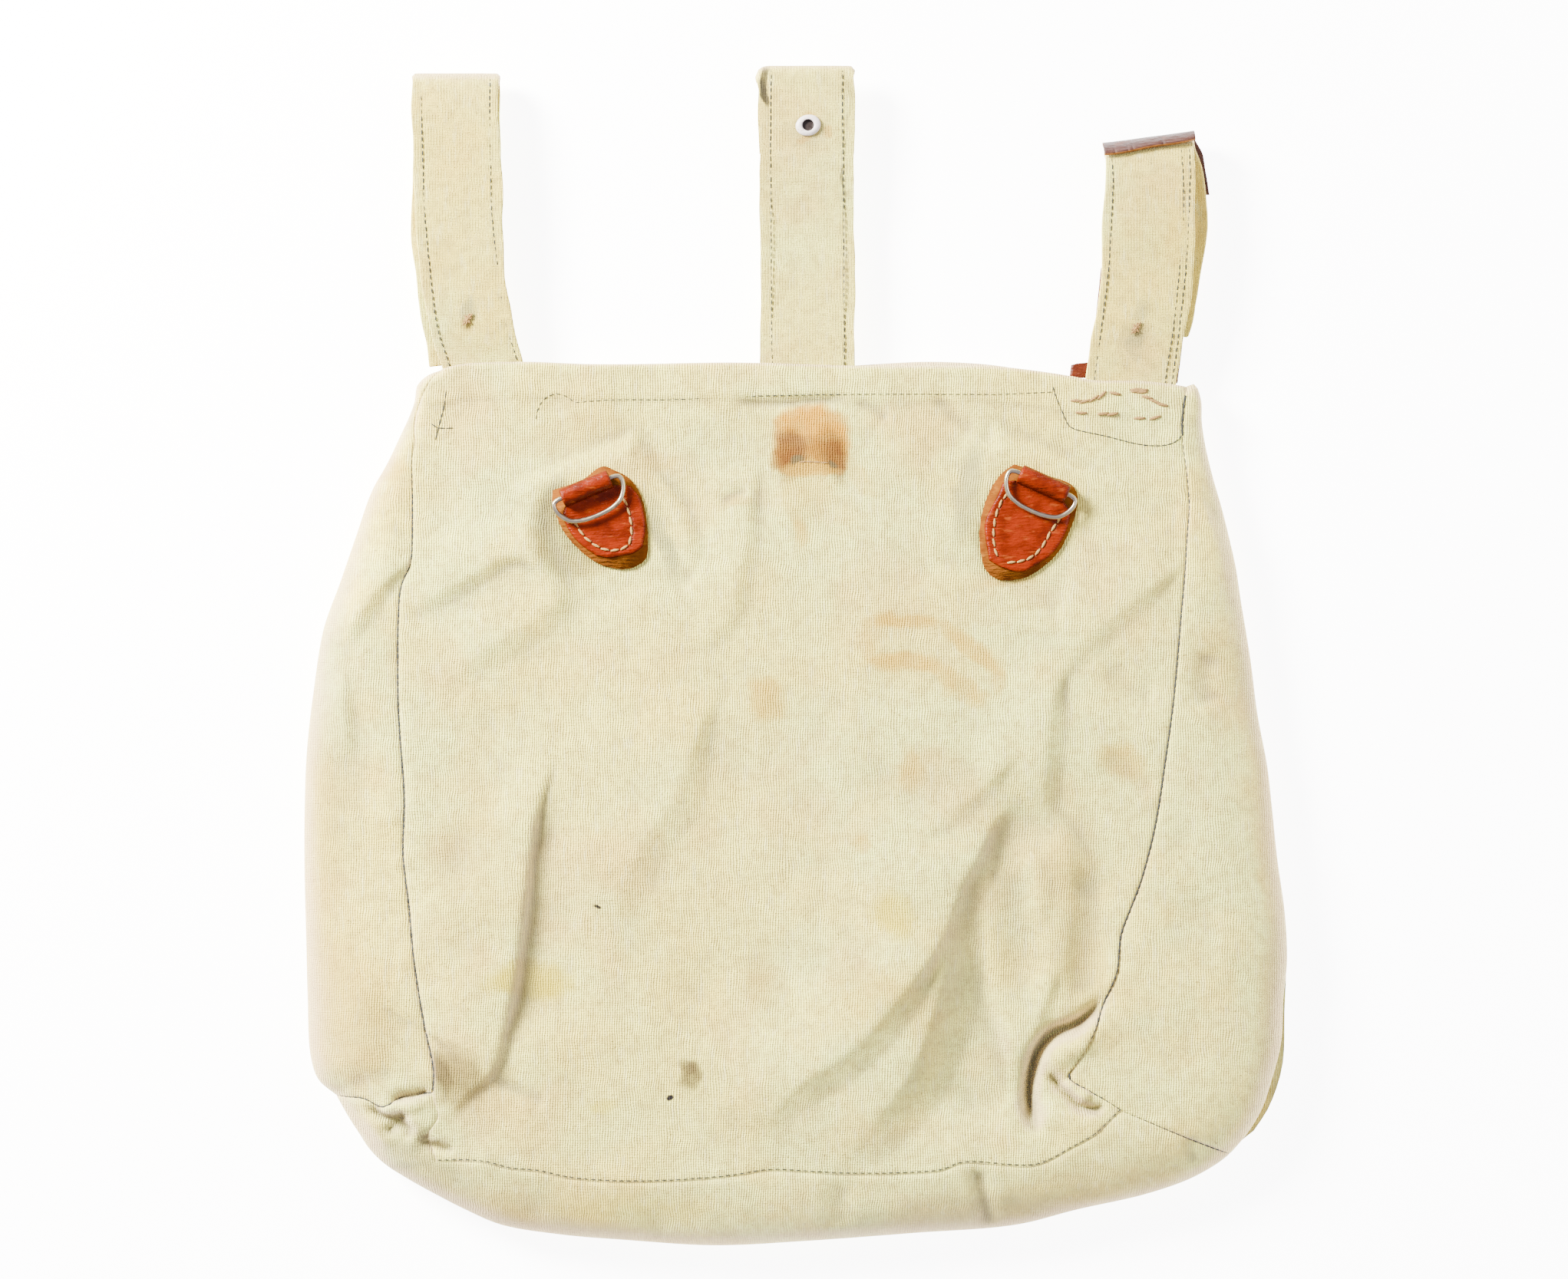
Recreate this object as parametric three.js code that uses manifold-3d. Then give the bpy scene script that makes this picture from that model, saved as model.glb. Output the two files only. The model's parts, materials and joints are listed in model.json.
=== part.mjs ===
// A canvas haversack with leather ring tabs, lying flat on its front flap with its back upwards.
// The body is four pieces of canvas: a back panel, two side gussets, and a front panel that turns
// up round the bottom. A flap folds over the mouth and lies under the front. Two belt loops and a
// centre strap with a belt hook leave the top edge, and two D-rings are held on the back by tabs of
// folded leather.
// Units are millimetres, with +Z up from the surface that the bag lies on, +X to the right and +Y
// from the bag's bottom towards its loops. The tables hold lengths as shares: "across" is a share of
// half the bag's width, to the right of the centre strap, and "down" is a share of the bag's height,
// below the top edge.
import * as THREE from "three";
import { mergeVertices } from "three/addons/utils/BufferGeometryUtils.js";
import Module from "manifold-3d";

const wasm = await Module();
wasm.setup();

// The bag
const BAG_WIDTH = 360;
const BAG_HEIGHT = 322;
const LOFT = 17; // rise of the back panel above the side folds
const EDGE_HEIGHT = 8; // height of the side and bottom folds above the surface
const EDGE_ROUND = 26; // width over which the back curves down to the side folds
const UNDER_ROUND = 14; // the same on the underside
const CANVAS = 1.2; // one layer of canvas
const HEM_DEPTH = 11;
const HEM_THICKNESS = 2.2;
const CLEARANCE = 0.3; // between pieces that touch
const SEAM_INSET = 0.4; // each panel stops this far short of a seam
const FRONT_INSET = 0.55; // the same at the seams underneath, whose rows don't line up

// The flap
const FLAP_TUCK = 9; // how far the flap runs in under the hem
const FLAP_PEEK = 2.4; // how far its fold shows above the hem

// The loops and the strap
const STRAP = 2.4; // two layers of canvas
const STRAP_TUCK = 9; // how far a strap runs in under the hem
const LEFT_LOOP = { width: 31, reach: 106, across: -0.66, button: 17 };
const RIGHT_LOOP = { width: 33.6, reach: 89, across: 0.66, button: 19 };
const CENTRE_STRAP = { width: 34, reach: 110 };
const STRAP_TURN = 33; // length of the centre strap's turned end
const STRAP_TURN_RADIUS = 1.6;
const LOOP_RISE = 16; // height of a loop's upper strand at its middle
const TURN_DROP = 2.4; // how far a strand has come down where a loop's turn begins
const CAP_OVER = 4; // the leather cap's cover of the upper strand, round the turn
const CAP_UNDER = 19; // and of the lower one
const TIP_LENGTH = 38; // the leather tip of the right loop's lower strand
const TIP_OVERLAP = 12;
const TIP_EAR = { width: 9, length: 5 }; // the tip's end reaches out beyond the loop on the left

// The buttons, the hook and its rivet
const BUTTON_RADIUS = 8.5;
const BUTTON_THICKNESS = 2.2;
const SHANK_RADIUS = 1.6;
const BUTTONHOLE_LENGTH = 19;
const BUTTONHOLE_PLAY = 0.5;
const HOOK = { width: 14, thickness: 1.2, tongue: 48, plate: 24, gap: 5.6, overhang: 9 };
const RIVET = { flange: 4.7, barrel: 2.5, hole: 1.9, lip: 0.7, fromEnd: 22 };

// The ring tabs and the rings
const LEATHER = 1.6;
const TAB = { halfWidth: 16, neckHalfWidth: 11.2, length: 33, head: 3.6, border: 2.6 };
const RING = { halfWidth: 13.3, depth: 10.8, wire: 1, corner: 2.2 };
const RING_PLAY = 0.35;
const PAD_MARGIN = 11; // flat canvas left round a tab
const PAD_BLEND = 14;

// Mesh sizes
const ACROSS_CELLS = 22;
const DOWN_CELLS = 24;
const CORNER_CELLS = 3;
const UNDER_CELLS = 9;
const WIRE_SIDES = 8;
const RING_STEPS = 38;
const ROUND_SEGMENTS = 24;

const table = (columns, ...rows) =>
  rows.map((row) => Object.fromEntries(columns.map((column, i) => [column, row[i]])));

// The outline of the bag in plan, with its seams

const CORNER = {
  topLeft: { across: -0.748, down: 0.003 },
  topRight: { across: 0.772, down: 0.022 },
  seamLeft: { across: -0.742, down: 0.821 },
  backLeft: { across: -0.73, down: 0.9 },
  backRight: { across: 0.659, down: 0.843 },
  edgeLeft: { across: -0.957, down: 0.831 },
  edgeRight: { across: 0.862, down: 0.895 },
  frontLeft: { across: -0.89, down: 0.833 },
  frontRight: { across: 0.813, down: 0.836 },
  mouthLeft: { across: -0.703, down: 0.023 },
  mouthRight: { across: 0.72, down: 0.037 },
};

const TOP_EDGE = table(
  ["across", "down"],
  [-0.703, -0.003],
  [-0.574, -0.006],
  [-0.436, -0.003],
  [-0.143, -0.005],
  [0.098, -0.001],
  [0.264, -0.001],
  [0.386, 0.0],
  [0.457, 0.004],
  [0.529, 0.01],
  [0.58, 0.015],
  [0.68, 0.016],
);

const BACK_SEAM_LEFT = table(
  ["across", "down"],
  [-0.756, 0.045],
  [-0.784, 0.093],
  [-0.8, 0.132],
  [-0.803, 0.186],
  [-0.82, 0.241],
  [-0.831, 0.3],
  [-0.831, 0.38],
  [-0.823, 0.454],
  [-0.818, 0.523],
  [-0.807, 0.609],
  [-0.787, 0.696],
  [-0.767, 0.764],
);

const BACK_SEAM_RIGHT = table(
  ["across", "down"],
  [0.767, 0.06],
  [0.768, 0.1],
  [0.773, 0.15],
  [0.771, 0.2],
  [0.762, 0.281],
  [0.748, 0.341],
  [0.733, 0.424],
  [0.714, 0.482],
  [0.692, 0.545],
  [0.664, 0.6],
  [0.634, 0.655],
  [0.612, 0.705],
  [0.577, 0.757],
  [0.55, 0.796],
  [0.59, 0.817],
);

const CORNER_SEAM = table(["across", "down"], [-0.739, 0.86]);

const BOTTOM_SEAM = table(
  ["across", "down"],
  [-0.635, 0.903],
  [-0.49, 0.917],
  [-0.3, 0.924],
  [-0.101, 0.911],
  [0.098, 0.915],
  [0.23, 0.913],
  [0.348, 0.903],
  [0.466, 0.904],
  [0.551, 0.888],
  [0.6, 0.872],
);

const EDGE_LEFT = table(
  ["across", "down"],
  [-0.772, 0.008],
  [-0.793, 0.022],
  [-0.797, 0.04],
  [-0.829, 0.076],
  [-0.858, 0.11],
  [-0.89, 0.146],
  [-0.919, 0.193],
  [-0.954, 0.247],
  [-0.985, 0.297],
  [-1.005, 0.367],
  [-1.019, 0.43],
  [-1.024, 0.506],
  [-1.024, 0.61],
  [-1.014, 0.689],
  [-1.019, 0.735],
  [-1.007, 0.785],
  [-0.992, 0.815],
);

const EDGE_RIGHT = table(
  ["across", "down"],
  [0.785, 0.0165],
  [0.801, 0.035],
  [0.804, 0.063],
  [0.817, 0.106],
  [0.837, 0.145],
  [0.859, 0.193],
  [0.877, 0.25],
  [0.893, 0.3],
  [0.912, 0.367],
  [0.927, 0.43],
  [0.943, 0.497],
  [0.957, 0.567],
  [0.971, 0.623],
  [0.977, 0.68],
  [0.97, 0.732],
  [0.962, 0.776],
  [0.941, 0.819],
  [0.91, 0.858],
);

const EDGE_BOTTOM = table(
  ["across", "down"],
  [-0.93, 0.857],
  [-0.893, 0.889],
  [-0.835, 0.917],
  [-0.758, 0.941],
  [-0.664, 0.966],
  [-0.548, 0.982],
  [-0.37, 0.993],
  [-0.205, 0.998],
  [0.005, 0.993],
  [0.215, 0.985],
  [0.426, 0.974],
  [0.551, 0.958],
  [0.689, 0.94],
  [0.779, 0.921],
);

const FRONT_SEAM_LEFT = table(
  ["across", "down"],
  [-0.742, 0.123],
  [-0.789, 0.245],
  [-0.828, 0.367],
  [-0.851, 0.497],
  [-0.859, 0.628],
  [-0.866, 0.732],
);

const FRONT_SEAM_RIGHT = table(
  ["across", "down"],
  [0.751, 0.123],
  [0.79, 0.245],
  [0.813, 0.367],
  [0.837, 0.497],
  [0.852, 0.628],
  [0.856, 0.732],
);

const FRONT_TURN = table(
  ["across", "down"],
  [-0.862, 0.872],
  [-0.768, 0.91],
  [-0.625, 0.941],
  [-0.37, 0.962],
  [0.005, 0.962],
  [0.426, 0.94],
  [0.666, 0.906],
  [0.79, 0.871],
);

const FLAP_LEFT = table(
  ["across", "down"],
  [-0.69, 0.02],
  [-0.775, 0.123],
  [-0.905, 0.28],
  [-0.967, 0.41],
  [-0.991, 0.541],
  [-0.996, 0.671],
  [-0.982, 0.76],
  [-0.928, 0.837],
);

const FLAP_RIGHT = table(
  ["across", "down"],
  [0.695, 0.035],
  [0.775, 0.123],
  [0.852, 0.28],
  [0.915, 0.45],
  [0.957, 0.56],
  [0.981, 0.65],
  [0.982, 0.735],
  [0.972, 0.8],
  [0.915, 0.873],
);

const FLAP_BOTTOM = table(
  ["across", "down"],
  [-0.828, 0.889],
  [-0.672, 0.928],
  [-0.392, 0.945],
  [-0.081, 0.95],
  [0.23, 0.941],
  [0.541, 0.928],
  [0.759, 0.91],
  [0.855, 0.896],
);

// The shape of the back: how high it stands down the bag, and its main folds. A fold runs from one
// point to another by way of a third. "lift" is its height as a share of LOFT, down if negative, and
// "left" and "right" are how far it spreads to each side of its run, as shares of BAG_WIDTH.

const STANDING = table(
  ["down", "loft", "round"],
  [0, 0.37, 0.08],
  [0.08, 0.43, 0.3],
  [0.2, 0.6, 0.62],
  [0.4, 0.78, 0.92],
  [0.6, 0.88, 1],
  [0.8, 0.97, 1],
  [1, 1, 1],
);

const FOLDS = table(
  ["ax", "ad", "bx", "bd", "cx", "cd", "lift", "left", "right"],
  [-0.52, 0.44, -0.56, 0.62, -0.68, 0.82, 0.3, 0.022, 0.06],
  [-0.49, 0.46, -0.52, 0.63, -0.62, 0.84, -0.22, 0.05, 0.024],
  [0.41, 0.5, 0.26, 0.6, 0.08, 0.9, 0.3, 0.022, 0.065],
  [0.44, 0.53, 0.33, 0.66, 0.19, 0.9, -0.34, 0.035, 0.03],
  [0.36, 0.55, 0.37, 0.7, 0.45, 0.87, 0.26, 0.022, 0.024],
  [0.65, 0.24, 0.5, 0.38, 0.55, 0.55, -0.26, 0.04, 0.03],
  [0.55, 0.56, 0.53, 0.66, 0.5, 0.75, -0.22, 0.03, 0.03],
  [-0.83, 0.28, -0.67, 0.22, -0.5, 0.25, -0.16, 0.034, 0.024],
  [-0.11, 0.08, -0.13, 0.23, -0.24, 0.32, -0.18, 0.03, 0.03],
  [-0.86, 0.24, -0.93, 0.34, -0.94, 0.48, -0.14, 0.025, 0.025],
  [0.83, 0.25, 0.8, 0.33, 0.84, 0.42, -0.12, 0.025, 0.025],
);

const TABS = table(
  ["side", "across", "down", "turn"],
  ["left", -0.45, 0.138, 22.9],
  ["right", 0.476, 0.133, -24.1],
);

const HALF_WIDTH = BAG_WIDTH / 2;
const FLAP_Z = CANVAS / 2;
const FRONT_Z = CANVAS + CLEARANCE + CANVAS / 2;
const HEM_Z = EDGE_HEIGHT + LOFT * STANDING[0].loft;
const STRAP_Z = HEM_Z - HEM_THICKNESS / 2 - CLEARANCE - STRAP / 2;
const TUCK_Z = STRAP_Z - STRAP / 2 - CLEARANCE * 1.5 - CANVAS / 2;

const place = ({ across, down }) => new THREE.Vector3(across * HALF_WIDTH, -down * BAG_HEIGHT, 0);
const smoothCurve = (points) => new THREE.CatmullRomCurve3(points, false, "centripetal");
const planCurve = (...rows) => smoothCurve(rows.map(place));

const topEdge = planCurve(CORNER.topLeft, ...TOP_EDGE, CORNER.topRight);
const seamLeft = planCurve(CORNER.topLeft, ...BACK_SEAM_LEFT, CORNER.seamLeft);
const seamRight = planCurve(CORNER.topRight, ...BACK_SEAM_RIGHT, CORNER.backRight);
const cornerSeam = planCurve(CORNER.seamLeft, ...CORNER_SEAM, CORNER.backLeft);
const bottomSeam = planCurve(CORNER.backLeft, ...BOTTOM_SEAM, CORNER.backRight);
const edgeLeft = planCurve(...EDGE_LEFT, CORNER.edgeLeft);
const edgeRight = planCurve(...EDGE_RIGHT, CORNER.edgeRight);
const edgeBottom = planCurve(CORNER.edgeLeft, ...EDGE_BOTTOM, CORNER.edgeRight);
const frontSeamLeft = planCurve(CORNER.mouthLeft, ...FRONT_SEAM_LEFT, CORNER.frontLeft);
const frontSeamRight = planCurve(CORNER.mouthRight, ...FRONT_SEAM_RIGHT, CORNER.frontRight);
const frontTurn = planCurve(CORNER.frontLeft, ...FRONT_TURN, CORNER.frontRight);
const mouth = planCurve(CORNER.mouthLeft, CORNER.mouthRight);

// The top edge's height in plan at a given place across the bag.
const topEdgePoints = topEdge.getSpacedPoints(ACROSS_CELLS * 4);
function topEdgeAt(x) {
  const next = topEdgePoints.findIndex((point) => point.x > x);
  if (next < 1) return (next === 0 ? topEdgePoints[0] : topEdgePoints.at(-1)).y;
  const [a, b] = [topEdgePoints[next - 1], topEdgePoints[next]];
  return THREE.MathUtils.mapLinear(x, a.x, b.x, a.y, b.y);
}

// Heights

const outline = [edgeLeft, edgeBottom, edgeRight].flatMap((curve) => {
  const points = curve.getSpacedPoints(40);
  return points.slice(1).map((point, i) => new THREE.Line3(points[i], point));
});
const nearest = new THREE.Vector3();

function distanceToEdge(point) {
  const flat = new THREE.Vector3(point.x, point.y, 0);
  return Math.min(...outline.map((line) => line.closestPointToPoint(flat, true, nearest).distanceTo(flat)));
}

function readTable(rows, key, at, value) {
  const next = rows.findIndex((row) => row[key] >= at);
  if (next < 1) return (next === 0 ? rows[0] : rows.at(-1))[value];
  const [a, b] = [rows[next - 1], rows[next]];
  return THREE.MathUtils.mapLinear(at, a[key], b[key], a[value], b[value]);
}

const quarterRound = (share) => Math.sqrt(1 - (1 - Math.min(share, 1)) ** 2);

const foldRuns = FOLDS.map((row) => {
  const at = (across, down) => place({ across, down });
  const run = new THREE.QuadraticBezierCurve3(at(row.ax, row.ad), at(row.bx, row.bd), at(row.cx, row.cd));
  return { ...row, points: run.getPoints(16) };
});

function foldHeight(point, fold) {
  let best = { distance: Infinity };
  fold.points.slice(1).forEach((end, i) => {
    const start = fold.points[i];
    const line = new THREE.Line3(start, end);
    const share = line.closestPointToPointParameter(point, true);
    const away = line.at(share, new THREE.Vector3()).sub(point).negate();
    if (away.length() < best.distance) {
      const along = end.clone().sub(start);
      const side = along.x * away.y - along.y * away.x;
      best = { distance: away.length(), side, run: (i + share) / (fold.points.length - 1) };
    }
  });
  const spread = (best.side > 0 ? fold.left : fold.right) * BAG_WIDTH;
  const fade = Math.sin(Math.PI * THREE.MathUtils.clamp(best.run, 0.02, 0.98)) ** 0.6;
  return fold.lift * LOFT * fade * Math.exp(-((best.distance / spread) ** 2));
}

// A tab lies on a flat place in the canvas, where the folds and the curve of the back fade out.
const tabPads = TABS.map((tab) => {
  const at = place(tab);
  const turn = THREE.MathUtils.degToRad(tab.turn);
  const middle = new THREE.Vector3(0, (TAB.head - TAB.length) / 2, 0).applyAxisAngle(
    new THREE.Vector3(0, 0, 1),
    turn,
  );
  return { ...tab, at, turn, middle: middle.add(at) };
});

function padShare(point, pad) {
  const local = new THREE.Vector3(point.x, point.y, 0).sub(pad.middle);
  local.applyAxisAngle(new THREE.Vector3(0, 0, 1), -pad.turn);
  const outX = Math.abs(local.x) - TAB.halfWidth - PAD_MARGIN;
  const outY = Math.abs(local.y) - (TAB.head + TAB.length) / 2 - PAD_MARGIN;
  return 1 - THREE.MathUtils.smoothstep(Math.max(outX, outY), 0, PAD_BLEND);
}

function openHeight(point) {
  const down = -point.y / BAG_HEIGHT;
  const round = EDGE_ROUND * readTable(STANDING, "down", down, "round");
  const rounding = quarterRound(distanceToEdge(point) / round);
  const folds = foldRuns.reduce((sum, fold) => sum + foldHeight(point, fold), 0);
  return EDGE_HEIGHT + (LOFT * readTable(STANDING, "down", down, "loft") + folds) * rounding;
}

for (const pad of tabPads) pad.height = openHeight(pad.middle);

function backHeight(point) {
  const flat = new THREE.Vector3(point.x, point.y, 0);
  return tabPads.reduce(
    (height, pad) => THREE.MathUtils.lerp(height, pad.height, padShare(flat, pad)),
    openHeight(flat),
  );
}

function underHeight(point) {
  const down = -point.y / BAG_HEIGHT;
  const round = UNDER_ROUND * readTable(STANDING, "down", down, "round");
  return EDGE_HEIGHT - (EDGE_HEIGHT - FRONT_Z) * quarterRound(distanceToEdge(point) / round);
}

// Solids

// A sheet of cloth from a grid of points in its middle, with its own thickness at each row.
function sheet(grid, thicknessOf = () => CANVAS) {
  const rows = grid.length;
  const columns = grid[0].length;
  const at = (i, j) => grid[THREE.MathUtils.clamp(i, 0, rows - 1)][THREE.MathUtils.clamp(j, 0, columns - 1)];
  const positions = [];
  for (const side of [1, -1])
    for (let i = 0; i < rows; i++)
      for (let j = 0; j < columns; j++) {
        const along = at(i + 1, j).clone().sub(at(i - 1, j));
        const across = at(i, j + 1).clone().sub(at(i, j - 1));
        const normal = across.cross(along).normalize();
        const point = at(i, j).clone().addScaledVector(normal, (side * thicknessOf(i)) / 2);
        positions.push(point.x, point.y, point.z);
      }
  const index = [];
  const quad = (a, b, c, d) => index.push(a, b, c, a, c, d);
  const top = (i, j) => i * columns + j;
  const bottom = (i, j) => rows * columns + top(i, j);
  for (let i = 0; i < rows - 1; i++)
    for (let j = 0; j < columns - 1; j++) {
      quad(top(i, j), top(i, j + 1), top(i + 1, j + 1), top(i + 1, j));
      quad(bottom(i, j), bottom(i + 1, j), bottom(i + 1, j + 1), bottom(i, j + 1));
    }
  for (let j = 0; j < columns - 1; j++) {
    quad(top(0, j + 1), top(0, j), bottom(0, j), bottom(0, j + 1));
    quad(top(rows - 1, j), top(rows - 1, j + 1), bottom(rows - 1, j + 1), bottom(rows - 1, j));
  }
  for (let i = 0; i < rows - 1; i++) {
    quad(top(i, 0), top(i + 1, 0), bottom(i + 1, 0), bottom(i, 0));
    quad(top(i + 1, columns - 1), top(i, columns - 1), bottom(i, columns - 1), bottom(i + 1, columns - 1));
  }
  return closedGeometry(positions, index);
}

function closedGeometry(positions, index) {
  const geometry = new THREE.BufferGeometry();
  geometry.setAttribute("position", new THREE.Float32BufferAttribute(positions, 3));
  geometry.setIndex(index);
  if (signedVolume(positions, index) < 0)
    for (let i = 0; i < index.length; i += 3) [index[i + 1], index[i + 2]] = [index[i + 2], index[i + 1]];
  geometry.setIndex(index);
  geometry.computeVertexNormals();
  return geometry;
}

function signedVolume(positions, index) {
  const corner = (i) => new THREE.Vector3().fromArray(positions, index[i] * 3);
  let volume = 0;
  for (let i = 0; i < index.length; i += 3) volume += corner(i).dot(corner(i + 1).cross(corner(i + 2))) / 6;
  return volume;
}

// Draws the named sides of a grid in, so that neighbouring panels keep a gap at their seam.
function drawIn(grid, insets) {
  const [lastRow, lastColumn] = [grid.length - 1, grid[0].length - 1];
  const drawn = grid.map((row) => row.map((point) => point.clone()));
  const at = (i, j) => grid[THREE.MathUtils.clamp(i, 0, lastRow)][THREE.MathUtils.clamp(j, 0, lastColumn)];
  const pull = (i, j, inI, inJ, inset = 0) => {
    const along = at(i + inJ, j + inI).clone().sub(at(i - inJ, j - inI)).normalize();
    const inward = at(i + inI, j + inJ).clone().sub(at(i, j));
    inward.addScaledVector(along, -inward.dot(along)).setLength(inset);
    drawn[i][j].add(inward);
  };
  for (let j = 0; j <= lastColumn; j++) {
    pull(0, j, 1, 0, insets.start);
    pull(lastRow, j, -1, 0, insets.end);
  }
  for (let i = 0; i <= lastRow; i++) {
    pull(i, 0, 0, 1, insets.left);
    pull(i, lastColumn, 0, -1, insets.right);
  }
  return drawn;
}

// A point of the patch that spans four boundary curves.
function spanned(start, end, left, right, u, v) {
  const point = start.getPointAt(u).multiplyScalar(1 - v);
  point.addScaledVector(end.getPointAt(u), v);
  point.addScaledVector(left.getPointAt(v), 1 - u);
  point.addScaledVector(right.getPointAt(v), u);
  point.addScaledVector(start.getPointAt(0), -(1 - u) * (1 - v));
  point.addScaledVector(start.getPointAt(1), -u * (1 - v));
  point.addScaledVector(end.getPointAt(0), -(1 - u) * v);
  point.addScaledVector(end.getPointAt(1), -u * v);
  return point;
}

const steps = (count) => Array.from({ length: count + 1 }, (_, i) => i / count);
const mix = (a, b, share) => a.clone().lerp(b, share);

const asSolid = (geometry) => {
  const bare = geometry.index ? geometry.toNonIndexed() : geometry.clone();
  bare.deleteAttribute("normal");
  bare.deleteAttribute("uv");
  const merged = mergeVertices(bare, 1e-4);
  return new wasm.Manifold(
    new wasm.Mesh({
      numProp: 3,
      vertProperties: merged.attributes.position.array,
      triVerts: new Uint32Array(merged.index.array),
    }),
  );
};

const asGeometry = (solid) => {
  const { vertProperties, triVerts } = solid.getMesh();
  const geometry = new THREE.BufferGeometry();
  geometry.setAttribute("position", new THREE.BufferAttribute(vertProperties, 3));
  geometry.setIndex(new THREE.BufferAttribute(triVerts, 1));
  geometry.computeVertexNormals();
  return geometry;
};

const cutBy = (geometry, ...tools) =>
  asGeometry(tools.reduce((solid, tool) => solid.subtract(asSolid(tool)), asSolid(geometry)));
const joined = (...geometries) => asGeometry(geometries.map(asSolid).reduce((a, b) => a.add(b)));

// Materials

const material = (color, roughness, metalness = 0) =>
  new THREE.MeshStandardMaterial({ color, roughness, metalness });
const canvas = material(0xe4dec0, 0.95);
const strapCanvas = material(0xe6dabc, 0.95);
const leather = material(0x9c3413, 0.45);
const steel = material(0xb9b4ad, 0.35, 1);
const enamel = material(0xd9dad6, 0.4, 0.6);
const horn = material(0x6f6a5c, 0.6);

const bag = new THREE.Group();

function add(name, geometry, surface, parent = bag) {
  const mesh = new THREE.Mesh(geometry, surface);
  mesh.name = name;
  parent.add(mesh);
  return mesh;
}

// The back panel, with its hem folded double along the top edge

const hemShare = HEM_DEPTH / BAG_HEIGHT;
const hemEnd = hemShare * 1.35;
const rowShares = [0, hemShare, ...steps(DOWN_CELLS).map((share) => THREE.MathUtils.lerp(hemEnd, 1, share))];
const acrossShares = steps(ACROSS_CELLS);

// The left gusset ends above the back panel's corner, and the front panel meets the side below it.
const leftEnd = rowShares.at(-1 - CORNER_CELLS);
const leftShares = rowShares.slice(0, -CORNER_CELLS).map((share) => share / leftEnd);

// Two curves run through as one, the second from a given share on.
const chained = (first, second, split) => ({
  getPointAt: (share) =>
    share <= split ? first.getPointAt(share / split) : second.getPointAt((share - split) / (1 - split)),
});

function raised(point, heightOf) {
  return point.setZ(heightOf(point));
}

function backPanel() {
  const left = chained(seamLeft, cornerSeam, leftEnd);
  const grid = rowShares.map((v) =>
    acrossShares.map((u) => raised(spanned(topEdge, bottomSeam, left, seamRight, u, v), backHeight)),
  );
  const insets = { end: SEAM_INSET, left: SEAM_INSET, right: SEAM_INSET };
  return sheet(drawIn(grid, insets), (row) => (row < 2 ? HEM_THICKNESS : CANVAS));
}
add("back_panel", backPanel(), canvas);

// A gusset runs from the back seam out to the side fold, and in again under it to the front seam.

const OUT_SHARES = [0, 0.28, 0.52, 0.72, 0.87, 0.96, 1];
const IN_SHARES = [0.14, 0.45, 1];

// One row of points across a turned strip: over the top from the seam to the fold, then underneath.
function turnedRow(seam, fold, inner) {
  return [
    ...OUT_SHARES.map((share) => raised(mix(seam, fold, share), backHeight)),
    ...IN_SHARES.map((share) => raised(mix(fold, inner, share), underHeight)),
  ];
}

function gusset(shares, seam, edge, frontSeam) {
  const grid = shares.map((v) => turnedRow(seam.getPointAt(v), edge.getPointAt(v), frontSeam.getPointAt(v)));
  return sheet(drawIn(grid, { end: SEAM_INSET, left: SEAM_INSET, right: FRONT_INSET }));
}
add("gusset_left", gusset(leftShares, seamLeft, edgeLeft, frontSeamLeft), canvas);
add("gusset_right", gusset(rowShares, seamRight, edgeRight, frontSeamRight), canvas);

// The front panel starts at the bottom seam, turns under at the bottom fold and runs up to the mouth.

function frontPanel() {
  const columns = steps(CORNER_CELLS + ACROSS_CELLS);
  const seam = chained(cornerSeam, bottomSeam, columns[CORNER_CELLS]);
  const turned = columns.map((u) =>
    turnedRow(seam.getPointAt(u), edgeBottom.getPointAt(u), frontTurn.getPointAt(u)),
  );
  const upwards = (curve) => ({ getPointAt: (share) => curve.getPointAt(1 - share) });
  const [left, right] = [upwards(frontSeamLeft), upwards(frontSeamRight)];
  const grid = turned.map((row, i) => [
    ...row,
    ...steps(UNDER_CELLS)
      .slice(1)
      .map((v) => raised(spanned(frontTurn, mouth, left, right, columns[i], v), underHeight)),
  ]);
  return sheet(drawIn(grid, { start: FRONT_INSET, end: FRONT_INSET, left: SEAM_INSET }));
}
add("front_panel", frontPanel(), canvas);

// The flap is sewn in under the hem, folds down over the mouth and lies on the surface under the bag.

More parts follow.
